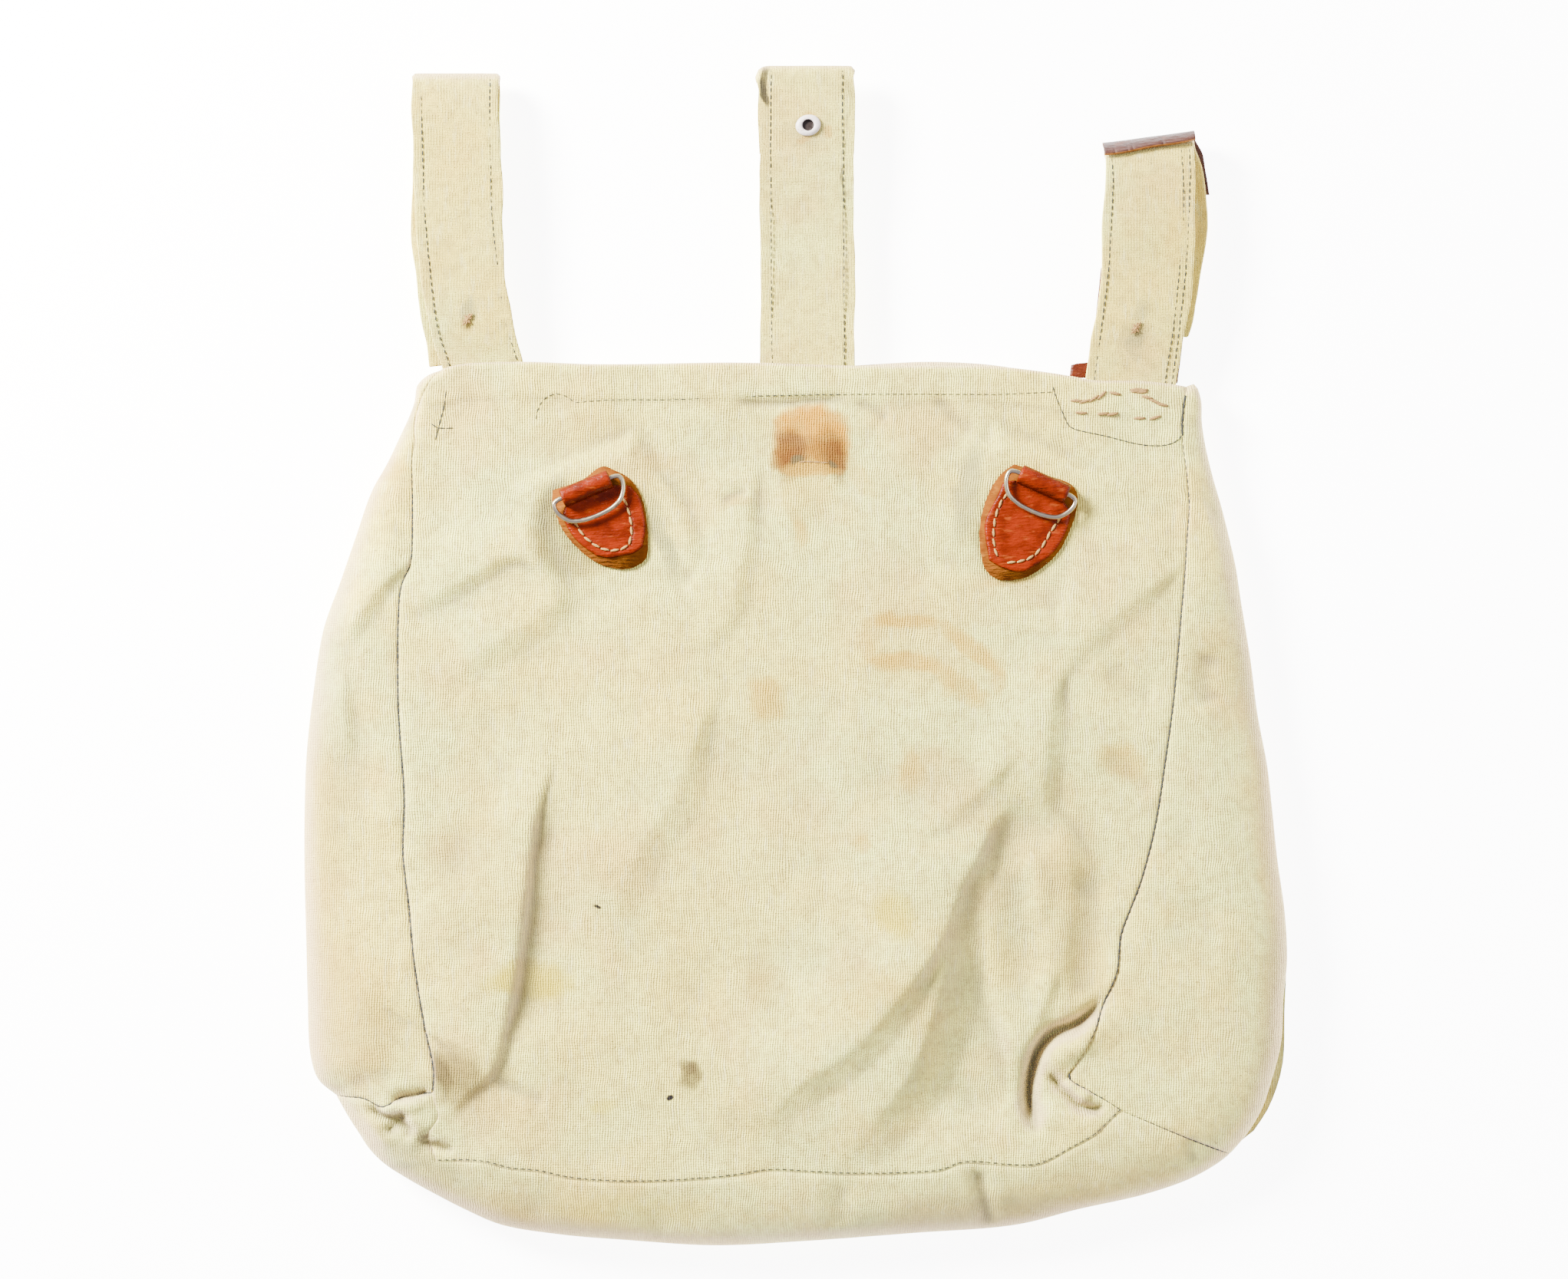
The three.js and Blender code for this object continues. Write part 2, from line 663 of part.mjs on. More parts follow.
function flap() {
  const left = planCurve(...FLAP_LEFT);
  const right = planCurve(...FLAP_RIGHT);
  const bottom = planCurve(FLAP_LEFT.at(-1), ...FLAP_BOTTOM, FLAP_RIGHT.at(-1));
  const [startX, endX] = [left.getPointAt(0).x, right.getPointAt(0).x];
  const bend = (TUCK_Z - FLAP_Z) / 2;
  const foldX = (u) => THREE.MathUtils.lerp(startX, endX, u);
  const peek = (u) => FLAP_PEEK * Math.exp(-(((u - 0.66) / 0.12) ** 2));
  const centreY = (u) => topEdgeAt(foldX(u)) + peek(u) - bend - CANVAS / 2;
  const foldLine = { getPointAt: (u) => new THREE.Vector3(foldX(u), centreY(u), 0) };
  const joinSides = (curve, u) => ({
    getPointAt: (v) => {
      const gap = foldLine.getPointAt(u).sub(curve.getPointAt(0));
      return curve.getPointAt(v).addScaledVector(gap, (1 - v) ** 8);
    },
  });
  const columns = acrossShares.filter((_, i) => i % 2 === 0);
  const grid = columns.map((u) => {
    const fold = foldLine.getPointAt(u);
    const inside = new THREE.Vector3(fold.x, topEdgeAt(fold.x) - FLAP_TUCK, TUCK_Z);
    const round = steps(8).map((share) => {
      const angle = Math.PI * (0.5 - share);
      return new THREE.Vector3(fold.x, fold.y + bend * Math.cos(angle), FLAP_Z + bend * (1 + Math.sin(angle)));
    });
    const lying = steps(11)
      .slice(1)
      .map((v) => spanned(foldLine, bottom, joinSides(left, 0), joinSides(right, 1), u, v).setZ(FLAP_Z));
    return [inside, ...round, ...lying];
  });
  return sheet(grid);
}
add("flap", flap(), canvas);

// Straps. A strap's run is a list of points in its middle, each with the way that its width lies.

function strap(run, width, thickness = STRAP) {
  const grid = run.map(({ point, turn, ear = 0 }) => {
    const across = new THREE.Vector3(Math.cos(turn), Math.sin(turn), 0);
    const left = point.clone().addScaledVector(across, -width / 2 - ear);
    return [left, point.clone().addScaledVector(across, width / 2)];
  });
  return sheet(grid, () => thickness);
}

// A run through the rows of a table, with "out" a share of the strap's reach beyond the top edge,
// "drift" a share of its width to the right, "turn" in degrees, and "up" a height in millimetres.
function strapRun(rows, { across, width, reach }, samples) {
  const x = across * HALF_WIDTH;
  const base = topEdgeAt(x);
  const points = rows.map(
    (row) => new THREE.Vector3(x + row.drift * width, base + row.out * reach, row.up),
  );
  const curve = smoothCurve(points);
  return steps(samples).map((share) => {
    const at = share * (rows.length - 1);
    const row = Math.min(Math.floor(at), rows.length - 2);
    const turn = THREE.MathUtils.lerp(rows[row].turn, rows[row + 1].turn, at - row);
    return { point: curve.getPoint(share), turn: THREE.MathUtils.degToRad(turn) };
  });
}

const BUTTON_TOP = BUTTON_THICKNESS + CLEARANCE;
const strandUp = BUTTON_TOP + CLEARANCE / 2 + STRAP / 2; // the lower strand where it crosses the button
const strandLow = STRAP / 2 + CLEARANCE; // and where it lies on the surface
const tipUp = BUTTON_TOP + LEATHER / 2;
const strandOverTip = tipUp + LEATHER / 2 + CLEARANCE + STRAP / 2;
const strandOverCap = LEATHER + CLEARANCE * 2.5 + STRAP / 2;
const foldMiddle = (LOOP_RISE + strandLow) / 2;
const tucked = (loop) => -STRAP_TUCK / loop.reach;

const LEFT_RUN = table(
  ["out", "drift", "turn", "up"],
  [tucked(LEFT_LOOP), 0, 6, STRAP_Z],
  [0.045, 0, 7, STRAP_Z],
  [0.18, -0.15, 9, STRAP_Z + 1.9],
  [0.36, -0.26, 6, LOOP_RISE - 1],
  [0.6, -0.3, 2, LOOP_RISE],
  [0.85, -0.32, 0, LOOP_RISE - 0.6],
  [0.965, -0.32, 0, LOOP_RISE - TURN_DROP],
  [1, -0.32, 0, foldMiddle],
  [0.965, -0.32, 0, strandLow + TURN_DROP],
  [0.87, -0.33, 0, strandLow],
  [0.74, -0.34, 1, strandLow],
  [0.61, -0.35, 3, strandLow],
  [0.48, -0.36, 5, strandLow],
  [0.34, -0.36, 7, strandUp - 0.5],
  [0.2, -0.3, 9, strandUp],
  [0.1, -0.22, 8, strandUp],
  [0.02, -0.17, 7, strandUp],
);

const RIGHT_RUN = table(
  ["out", "drift", "turn", "up"],
  [tucked(RIGHT_LOOP), 0.02, -4, STRAP_Z],
  [0.085, 0.04, -4, STRAP_Z],
  [0.22, 0.11, -5, STRAP_Z + 1.9],
  [0.4, 0.17, -4, LOOP_RISE - 1],
  [0.65, 0.2, -2, LOOP_RISE],
  [0.86, 0.2, 4, LOOP_RISE - 0.4],
  [0.94, 0.2, 7, LOOP_RISE - TURN_DROP],
  [0.968, 0.21, 8, foldMiddle],
  [0.94, 0.24, 4, strandOverCap + 1.2],
  [0.89, 0.29, 1, strandOverCap],
  [0.8, 0.33, -2, strandOverCap],
  [0.7, 0.35, -6, strandOverCap],
  [0.61, 0.32, -9, strandOverCap],
  [0.53, 0.29, -12, strandOverTip - 0.6],
  [0.45, 0.23, -12, strandOverTip + 0.2],
  [0.37, 0.16, -10, strandOverTip],
  [0.29, 0.1, -8, strandOverTip],
);

const LOOP_STEPS = 44;
const leftRun = strapRun(LEFT_RUN, LEFT_LOOP, LOOP_STEPS);
const rightRun = strapRun(RIGHT_RUN, RIGHT_LOOP, LOOP_STEPS);

// Buttons. Each is sewn under the upper strand and holds the lower strand by its buttonhole.

function strandAt(run, y, from) {
  const found = run.slice(from).reduce((best, step) => {
    return Math.abs(step.point.y - y) < Math.abs(best.point.y - y) ? step : best;
  });
  return found.point;
}

function buttonPlace(loop, run) {
  const y = topEdgeAt(loop.across * HALF_WIDTH) + loop.button;
  const above = strandAt(run.slice(0, Math.floor(LOOP_STEPS / 3)), y, 0);
  return new THREE.Vector3(above.x, y, above.z - STRAP / 2 - CLEARANCE * 3);
}

function button(name, { x, y, z }) {
  const profile = [
    [0, 0],
    [BUTTON_RADIUS * 0.94, 0],
    [BUTTON_RADIUS, BUTTON_THICKNESS * 0.35],
    [BUTTON_RADIUS, BUTTON_THICKNESS],
    [SHANK_RADIUS, BUTTON_THICKNESS],
    [SHANK_RADIUS, z],
    [0, z],
  ].map(([radius, height]) => new THREE.Vector2(radius, height));
  const geometry = new THREE.LatheGeometry(profile, ROUND_SEGMENTS);
  const mesh = add(name, geometry.rotateX(Math.PI / 2), horn);
  mesh.position.set(x, y, 0);
}

function buttonhole({ x, y }) {
  const width = 2 * (SHANK_RADIUS + BUTTONHOLE_PLAY);
  const slot = new THREE.BoxGeometry(width, BUTTONHOLE_LENGTH - width, strandOverTip + STRAP);
  const place = [x, y + SHANK_RADIUS, strandOverTip / 2];
  return slot.translate(...place);
}

const leftButton = buttonPlace(LEFT_LOOP, leftRun);
const rightButton = buttonPlace(RIGHT_LOOP, rightRun);
button("button_left", leftButton);
button("button_right", rightButton);

add("belt_loop_left", cutBy(strap(leftRun, LEFT_LOOP.width), buttonhole(leftButton)), strapCanvas);
add("belt_loop_right", strap(rightRun, RIGHT_LOOP.width), strapCanvas);

// The right loop's lower strand ends in a leather tip, which carries its buttonhole.

function leatherTip() {
  const end = rightRun.at(-1);
  const corner = end.point.x - RIGHT_LOOP.width / 2 - TIP_EAR.width;
  const from = end.point.clone().add(new THREE.Vector3(TIP_EAR.length / 3, TIP_OVERLAP, 0)).setZ(tipUp);
  const far = topEdgeAt(corner) + CLEARANCE * 4 + CANVAS;
  const to = new THREE.Vector3(end.point.x, Math.max(far, from.y - TIP_LENGTH), tipUp);
  const earStart = 1 - TIP_EAR.length / (from.y - to.y);
  const run = [0, 0.3, 0.6, earStart - 0.03, earStart, 1].map((share) => ({
    point: mix(from, to, share),
    turn: end.turn * (1 - share / 2),
    ear: share < earStart ? 0 : TIP_EAR.width,
  }));
  return cutBy(strap(run, RIGHT_LOOP.width, LEATHER), buttonhole(rightButton));
}
add("loop_tip_right", leatherTip(), leather);

// A leather cap is folded over the top of the right loop.

function leatherCap() {
  const top = rightRun.reduce((best, step, i) => (step.point.y > rightRun[best].point.y ? i : best), 0);
  const along = (direction, length) => {
    let i = top;
    let gone = 0;
    while (gone < length) {
      gone += rightRun[i].point.distanceTo(rightRun[i + direction].point);
      i += direction;
    }
    return i;
  };
  const offset = STRAP / 2 + CLEARANCE * 1.5 + LEATHER / 2;
  const [first, last] = [along(-1, CAP_OVER), along(1, CAP_UNDER)];
  const run = rightRun.slice(first, last + 1).map(({ point, turn }, i) => {
    const before = rightRun[first + i - 1].point;
    const after = rightRun[first + i + 1].point;
    const along = after.clone().sub(before).setX(0).normalize();
    const outward = new THREE.Vector3(0, -along.z, along.y);
    return { point: point.clone().addScaledVector(outward, offset), turn };
  });
  return strap(run, RIGHT_LOOP.width + 1, LEATHER);
}
add("loop_cap_right", leatherCap(), leather);

// The centre strap, turned back on itself at its end, where a rivet holds the belt hook under it

const turnGap = 2 * STRAP_TURN_RADIUS;
const plateTop = HOOK.gap + 2 * HOOK.thickness;
const turnedUp = plateTop + CLEARANCE + STRAP / 2;
const strapEndUp = turnedUp + turnGap;
const strapEnd = topEdgeAt(0) + CENTRE_STRAP.reach;

function centreStrap() {
  const row = (out, up) => ({ point: new THREE.Vector3(0, topEdgeAt(0) + out, up), turn: 0 });
  const bendAt = CENTRE_STRAP.reach - STRAP_TURN_RADIUS - STRAP / 2;
  const upper = [
    row(-STRAP_TUCK, STRAP_Z),
    row(0, STRAP_Z),
    row(bendAt * 0.25, STRAP_Z - 1.2),
    row(bendAt * 0.5, STRAP_Z - 1.4),
    row(bendAt - STRAP_TURN, strapEndUp),
    row(bendAt - STRAP_TURN / 2, strapEndUp),
  ];
  const round = steps(8).map((share) => {
    const angle = Math.PI * (0.5 - share);
    const up = turnedUp + STRAP_TURN_RADIUS * (1 + Math.sin(angle));
    return row(bendAt + STRAP_TURN_RADIUS * Math.cos(angle), up);
  });
  const under = [row(bendAt - STRAP_TURN / 2, turnedUp), row(bendAt - STRAP_TURN, turnedUp)];
  return strap([...upper, ...round, ...under], CENTRE_STRAP.width);
}

const rivetPlace = new THREE.Vector3(0, strapEnd - RIVET.fromEnd, 0);

function rivetHole() {
  const hole = new THREE.CylinderGeometry(
    RIVET.barrel + CLEARANCE,
    RIVET.barrel + CLEARANCE,
    strapEndUp * 2,
    ROUND_SEGMENTS,
  );
  const above = HOOK.thickness + HOOK.gap / 2;
  return hole.rotateX(Math.PI / 2).translate(rivetPlace.x, rivetPlace.y, strapEndUp + above);
}
add("centre_strap", cutBy(centreStrap(), rivetHole()), strapCanvas);

function hook() {
  const bendRadius = (HOOK.gap + HOOK.thickness) / 2;
  const middle = bendRadius + HOOK.thickness / 2;
  const top = rivetPlace.y + HOOK.overhang;
  const line = [
    [top - HOOK.plate, middle + bendRadius],
    [top, middle + bendRadius],
    ...steps(8)
      .slice(1, -1)
      .map((share) => {
        const angle = Math.PI * (0.5 - share);
        return [top + bendRadius * Math.cos(angle), middle + bendRadius * Math.sin(angle)];
      }),
    [top, middle - bendRadius],
    [top - HOOK.tongue, middle - bendRadius],
  ];
  const run = line.map(([y, z]) => ({ point: new THREE.Vector3(rivetPlace.x, y, z), turn: 0 }));
  return cutBy(strap(run, HOOK.width, HOOK.thickness), rivetHole());
}
add("belt_hook", hook(), steel);

function rivet() {
  const top = strapEndUp + STRAP / 2 + CLEARANCE;
  const bottom = plateTop - HOOK.thickness - CLEARANCE;
  const profile = [
    [RIVET.hole, bottom - RIVET.lip],
    [RIVET.flange * 0.8, bottom - RIVET.lip],
    [RIVET.flange * 0.8, bottom],
    [RIVET.barrel, bottom],
    [RIVET.barrel, top],
    [RIVET.flange, top],
    [RIVET.flange * 0.93, top + RIVET.lip * 0.7],
    [RIVET.flange * 0.7, top + RIVET.lip],
    [RIVET.hole, top + RIVET.lip * 0.6],
    [RIVET.hole, bottom - RIVET.lip],
  ].map(([radius, height]) => new THREE.Vector2(radius, height));
  return new THREE.LatheGeometry(profile, ROUND_SEGMENTS).rotateX(Math.PI / 2);
}
add("strap_rivet", rivet(), enamel).position.copy(rivetPlace);

// The ring tabs. Leather is folded round the ring's bar, and its two layers are sewn to the canvas.
// A tab's own frame has the bar along X and the sewn leather towards -Y, with Z = 0 at its underside.

const BAR_HEIGHT = 2 * LEATHER + CLEARANCE + RING.wire;

function shield(inset) {
  const side = TAB.halfWidth - inset;
  const neck = Math.min(TAB.neckHalfWidth, side);
  const end = inset - TAB.length;
  const head = inset ? 0 : TAB.head;
  const shape = new THREE.Shape();
  shape.moveTo(-neck, head);
  shape.bezierCurveTo(-side * 1.06, -2, -side * 1.12, end * 0.62, -side * 0.42, end * 0.94);
  shape.quadraticCurveTo(0, end * 1.06, side * 0.42, end * 0.94);
  shape.bezierCurveTo(side * 1.12, end * 0.62, side * 1.06, -2, neck, head);
  shape.closePath();
  return new THREE.ExtrudeGeometry(shape, { depth: LEATHER, bevelEnabled: false, curveSegments: 8 });
}

function bar(radius, length) {
  const rod = new THREE.CylinderGeometry(radius, radius, length, ROUND_SEGMENTS);
  return rod.rotateZ(Math.PI / 2).translate(0, 0, BAR_HEIGHT);
}

function ringTab() {
  const rollLength = 2 * (RING.halfWidth - RING.wire - RING.corner);
  const upper = shield(TAB.border).translate(0, 0, LEATHER * 0.98);
  const body = joined(shield(0), upper, bar(BAR_HEIGHT, rollLength));
  return cutBy(body, bar(RING.wire + RING_PLAY, rollLength * 2));
}

// The ring lies level on its tab, with its round side towards the tab's point.
function ring() {
  const { halfWidth, depth, corner, wire } = RING;
  const path = new THREE.CurvePath();
  const at = (x, y) => new THREE.Vector3(x, y, 0);
  const cornerEnd = depth * 0.22;
  path.add(new THREE.LineCurve3(at(-halfWidth + corner, 0), at(halfWidth - corner, 0)));
  path.add(new THREE.QuadraticBezierCurve3(at(halfWidth - corner, 0), at(halfWidth, 0), at(halfWidth, -cornerEnd)));
  path.add(
    new THREE.CubicBezierCurve3(
      at(halfWidth, -cornerEnd),
      at(halfWidth * 0.93, -depth * 0.78),
      at(halfWidth * 0.46, -depth),
      at(0, -depth),
    ),
  );
  path.add(
    new THREE.CubicBezierCurve3(
      at(0, -depth),
      at(-halfWidth * 0.46, -depth),
      at(-halfWidth * 0.93, -depth * 0.78),
      at(-halfWidth, -cornerEnd),
    ),
  );
  path.add(
    new THREE.QuadraticBezierCurve3(at(-halfWidth, -cornerEnd), at(-halfWidth, 0), at(-halfWidth + corner, 0)),
  );
  return closedTube(path, RING_STEPS, wire).translate(0, 0, BAR_HEIGHT);
}

// A round wire bent along a closed path that lies in the XY plane.
function closedTube(path, count, radius) {
  const positions = [];
  const index = [];
  const up = new THREE.Vector3(0, 0, 1);
  for (let i = 0; i < count; i++) {
    const centre = path.getPointAt(i / count);
    const outward = path.getTangentAt(i / count).cross(up);
    for (let j = 0; j < WIRE_SIDES; j++) {
      const angle = (2 * Math.PI * j) / WIRE_SIDES;
      const point = centre.clone().addScaledVector(outward, radius * Math.cos(angle));
      point.addScaledVector(up, radius * Math.sin(angle));
      positions.push(point.x, point.y, point.z);
      const [next, side] = [(i + 1) % count, (j + 1) % WIRE_SIDES];
      const corners = [i * WIRE_SIDES + j, next * WIRE_SIDES + j, next * WIRE_SIDES + side, i * WIRE_SIDES + side];
      index.push(corners[0], corners[1], corners[2], corners[0], corners[2], corners[3]);
    }
  }
  return closedGeometry(positions, index);
}

for (const pad of tabPads) {
  const holder = new THREE.Group();
  holder.position.set(pad.at.x, pad.at.y, pad.height + CANVAS / 2 + CLEARANCE);
  holder.rotation.z = pad.turn;
  bag.add(holder);
  add(`ring_tab_${pad.side}`, ringTab(), leather, holder);
  add(`ring_${pad.side}`, ring(), steel, holder);
}

// The origin is under the middle of the bag's box, on the surface.

const haversack = new THREE.Group();
haversack.add(bag);
haversack.updateMatrixWorld(true);
const middle = new THREE.Box3().setFromObject(bag, true).getCenter(new THREE.Vector3());
bag.position.set(-middle.x, -middle.y, 0);
haversack.updateMatrixWorld(true);

export default haversack;
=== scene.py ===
import json
import math

import bmesh
import bpy
import numpy as np
from mathutils import Matrix, Vector, noise


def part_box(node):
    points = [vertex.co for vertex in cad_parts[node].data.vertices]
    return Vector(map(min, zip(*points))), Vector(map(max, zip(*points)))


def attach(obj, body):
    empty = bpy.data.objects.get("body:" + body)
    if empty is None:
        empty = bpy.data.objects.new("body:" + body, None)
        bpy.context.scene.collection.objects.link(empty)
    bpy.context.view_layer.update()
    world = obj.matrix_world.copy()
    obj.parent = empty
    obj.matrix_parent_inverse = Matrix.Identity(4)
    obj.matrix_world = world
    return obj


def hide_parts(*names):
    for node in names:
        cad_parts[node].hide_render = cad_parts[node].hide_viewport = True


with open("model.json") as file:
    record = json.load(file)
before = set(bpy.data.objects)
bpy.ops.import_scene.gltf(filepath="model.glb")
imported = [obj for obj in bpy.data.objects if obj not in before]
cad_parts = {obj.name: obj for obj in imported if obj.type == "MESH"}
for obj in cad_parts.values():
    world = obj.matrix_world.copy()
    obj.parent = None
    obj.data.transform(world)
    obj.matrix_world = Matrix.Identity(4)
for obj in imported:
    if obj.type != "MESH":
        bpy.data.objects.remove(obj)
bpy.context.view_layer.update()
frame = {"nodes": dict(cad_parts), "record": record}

# The camera hangs straight above the bag, as it did in the photograph. One pixel of the
# photograph is 0.28 mm at the bag, and places on the bag are given in those pixels below.
MM = 0.001
PIXEL = 0.28 * MM
MIDDLE = (1038.5, 855)  # the pixel over the frame's origin
PICTURE = (2043, 1667)
CAMERA_HEIGHT = 1.55
BAG_TOP = 20 * MM


def spot(x, y):
    return (x - MIDDLE[0]) * PIXEL, (MIDDLE[1] - y) * PIXEL


camera_data = bpy.data.cameras.new("camera")
camera_data.lens = camera_data.sensor_width * (CAMERA_HEIGHT - BAG_TOP) / (PICTURE[0] * PIXEL)
camera_data.clip_start = 0.05
camera = bpy.data.objects.new("camera", camera_data)
camera.location = (*spot(PICTURE[0] / 2, PICTURE[1] / 2), CAMERA_HEIGHT)
bpy.context.scene.collection.objects.link(camera)
bpy.context.scene.camera = camera

# The light of a studio: a bright white room, one large lamp up to the left that draws the folds,
# and a weak one at the right that keeps their far sides from going dark.
LAMPS = (
    ("key", (-1.1, 0.78, 0.82), 0.5, 226.0, (1.0, 0.96, 0.87)),
    ("fill", (1.0, 0.2, 0.9), 0.9, 20.0, (1.0, 0.95, 0.88)),
)
ROOM_LIGHT = 0.8
ROOM_COLOUR = (1.0, 0.94, 1.28)

world = bpy.data.worlds.new("studio")
world.use_nodes = True
world.node_tree.nodes["Background"].inputs["Color"].default_value = (*ROOM_COLOUR, 1)
world.node_tree.nodes["Background"].inputs["Strength"].default_value = ROOM_LIGHT
bpy.context.scene.world = world
for name, place, size, power, colour in LAMPS:
    lamp = bpy.data.lights.new(name, "AREA")
    lamp.size = size
    lamp.energy = power
    lamp.color = colour
    holder = bpy.data.objects.new(name, lamp)
    holder.location = place
    holder.rotation_euler = (-Vector(place)).to_track_quat("-Z", "Y").to_euler()
    bpy.context.scene.collection.objects.link(holder)


# The surface that the bag lies on: plain white cloth, laid smooth. It isn't part of the bag.
# Its paint is the first, so the tools that every paint is mixed with are here too.
FLOOR_SIZE = 4.0
FLOOR_DROP = 0.2 * MM
FLOOR_WHITE = (0.9, 0.9, 0.91)
FLOOR_GLOW = 8.5  # the picture is exposed until the cloth is white


class Value:
    """The number at a socket, with Python's own signs for its arithmetic."""

    def __init__(self, paint, socket):
        self.paint = paint
        self.socket = socket

    def maths(self, operation, *values):
        return self.paint.node("ShaderNodeMath", {"operation": operation}, dict(enumerate(values)))

    def __add__(self, other):
        return self.maths("ADD", self, other)

    def __mul__(self, other):
        return self.maths("MULTIPLY", self, other)

    def __sub__(self, other):
        return self.maths("SUBTRACT", self, other)

    def __rsub__(self, other):
        return self.maths("SUBTRACT", other, self)

    def __truediv__(self, other):
        return self.maths("DIVIDE", self, other)

    def __pow__(self, other):
        return self.maths("POWER", self, other)

    __radd__, __rmul__ = __add__, __mul__

    def wave(self):
        return self.maths("SINE", self)

    def between(self, low, high):
        """0 at low and 1 at high, with a smooth change from one to the other."""
        sockets = {"Value": self, "From Min": low, "From Max": high}
        return self.paint.node("ShaderNodeMapRange", {"interpolation_type": "SMOOTHSTEP"}, sockets)


class Paint:
    """A material as it is mixed, node by node."""

    def __init__(self, name):
        self.material = bpy.data.materials.new(name)
        self.material.use_nodes = True
        self.tree = self.material.node_tree
        self.tree.nodes.clear()

    def node(self, kind, settings=(), sockets=(), output=0):
        made = self.tree.nodes.new(kind)
        for name, value in dict(settings).items():
            setattr(made, name, value)
        for name, value in dict(sockets).items():
            if isinstance(value, Value):
                self.tree.links.new(value.socket, made.inputs[name])
            else:
                made.inputs[name].default_value = value
        return Value(self, made.outputs[output]) if made.outputs else made

    def place(self, stretch=(1, 1, 1), turn=0.0):
        """Places on the object, stretched along its axes and turned about Z."""
        place = self.node("ShaderNodeTexCoord", output="Object")
        rotation = (0, 0, math.radians(turn))
        return self.node(
            "ShaderNodeMapping", {}, {"Vector": place, "Scale": stretch, "Rotation": rotation}
        )

    def axes(self, place):
        return [self.node("ShaderNodeSeparateXYZ", {}, {"Vector": place}, i) for i in range(3)]

    def grain(self, size, place=None, detail=2.0):
        """Noise from 0 to 1, with grains of that size in metres."""
        sockets = {"Vector": place or self.place(), "Scale": 1 / size, "Detail": detail}
        return self.node("ShaderNodeTexNoise", {}, sockets)

    def kept(self, name):
        """What the mesh says of each place, such as how hollow or how steep it lies."""
        return self.node("ShaderNodeAttribute", {"attribute_name": name}, output="Fac")

    def mix(self, share, first, second):
        """The second colour over the first, as much as the share says."""
        a, b = (c if isinstance(c, Value) else (*c, 1) for c in (first, second))
        return self.node("ShaderNodeMix", {"data_type": "RGBA"}, {0: share, 6: a, 7: b}, 2)

    def bump(self, height, depth, under=None):
        """Relief of that depth in metres, on top of the relief under it."""
        sockets = {"Height": height, "Distance": depth}
        if under:
            sockets["Normal"] = under
        return self.node("ShaderNodeBump", {}, sockets)

    def finish(self, sockets):
        shader = self.node("ShaderNodeBsdfPrincipled", {}, sockets)
        self.node("ShaderNodeOutputMaterial", {}, {"Surface": shader})
        return self.material


paint = Paint("white_cloth")
floor_finish = paint.finish(
    {
        "Base Color": (*FLOOR_WHITE, 1),
        "Roughness": 0.9,
        "Emission Color": (1, 1, 1, 1),
        "Emission Strength": FLOOR_GLOW,
    }
)
mesh = bmesh.new()
bmesh.ops.create_grid(mesh, x_segments=1, y_segments=1, size=FLOOR_SIZE / 2)
floor_data = bpy.data.meshes.new("floor")
mesh.to_mesh(floor_data)
floor_data.materials.append(floor_finish)
floor = bpy.data.objects.new("floor", floor_data)
floor_data.transform(Matrix.Translation((0, 0, -FLOOR_DROP)))
bpy.context.scene.collection.objects.link(floor)


# The canvas of the bag: coarse cotton with upright ribs, gone pale green and cream with age and
# soaked with old stains. A stain is its kind, place, half width and height, turn in degrees,
# strength and softness, and the word square where it has corners.
RIB = 0.9 * MM
CROSS_THREAD = 0.62 * MM
WEAVE_DEPTH = 0.42 * MM
CANVAS_COLOUR = (0.92, 0.87, 0.19)
CANVAS_GREEN = (0.84, 0.93, 0.26)
CANVAS_WARM = (0.90, 0.67, 0.10)
CANVAS_PINK = (0.76, 0.50, 0.125)
MOTTLED = (0.40, 0.30, 0.075)
SPECKED = (0.22, 0.16, 0.045)
BLEACHED = (0.97, 0.95, 0.40)
RIB_GAP_SHADE = (0.36, 0.28, 0.075)
SLOPE_SHADE = (0.58, 0.42, 0.25)
CREASE_SHADE = (0.19, 0.16, 0.09)
STAIN_COLOURS = {
    "rust": (0.48, 0.23, 0.008),
    "dark_rust": (0.11, 0.036, 0.002),
    "tea": (0.50, 0.31, 0.03),
    "mould": (0.10, 0.07, 0.022),
    "pink": (0.43, 0.29, 0.06),
    "ochre": (0.50, 0.40, 0.02),
    "dark": (0.012, 0.009, 0.008),
    "grey": (0.22, 0.215, 0.10),
}
SPREADING = ((17 * MM, 11 * MM), (4 * MM, 2.6 * MM))  # how the edges of the stains wander


def blot(x, y, stain):
    """How strong a stain is over the cloth: full inside its edge, and soft around it."""
    across, down, half_width, half_height, turn, strength, soft, *square = stain
    turn = math.radians(turn)
    middle = spot(across, down)
    left, up = x - middle[0], y - middle[1]
    along = (left * math.cos(turn) + up * math.sin(turn)) / (half_width * PIXEL)
    aside = (up * math.cos(turn) - left * math.sin(turn)) / (half_height * PIXEL)
    power = 2 if square else 1
    reach = (along * along) ** power + (aside * aside) ** power
    return (1 - reach.between(1 - soft, 1 + soft * 1.6)) * strength


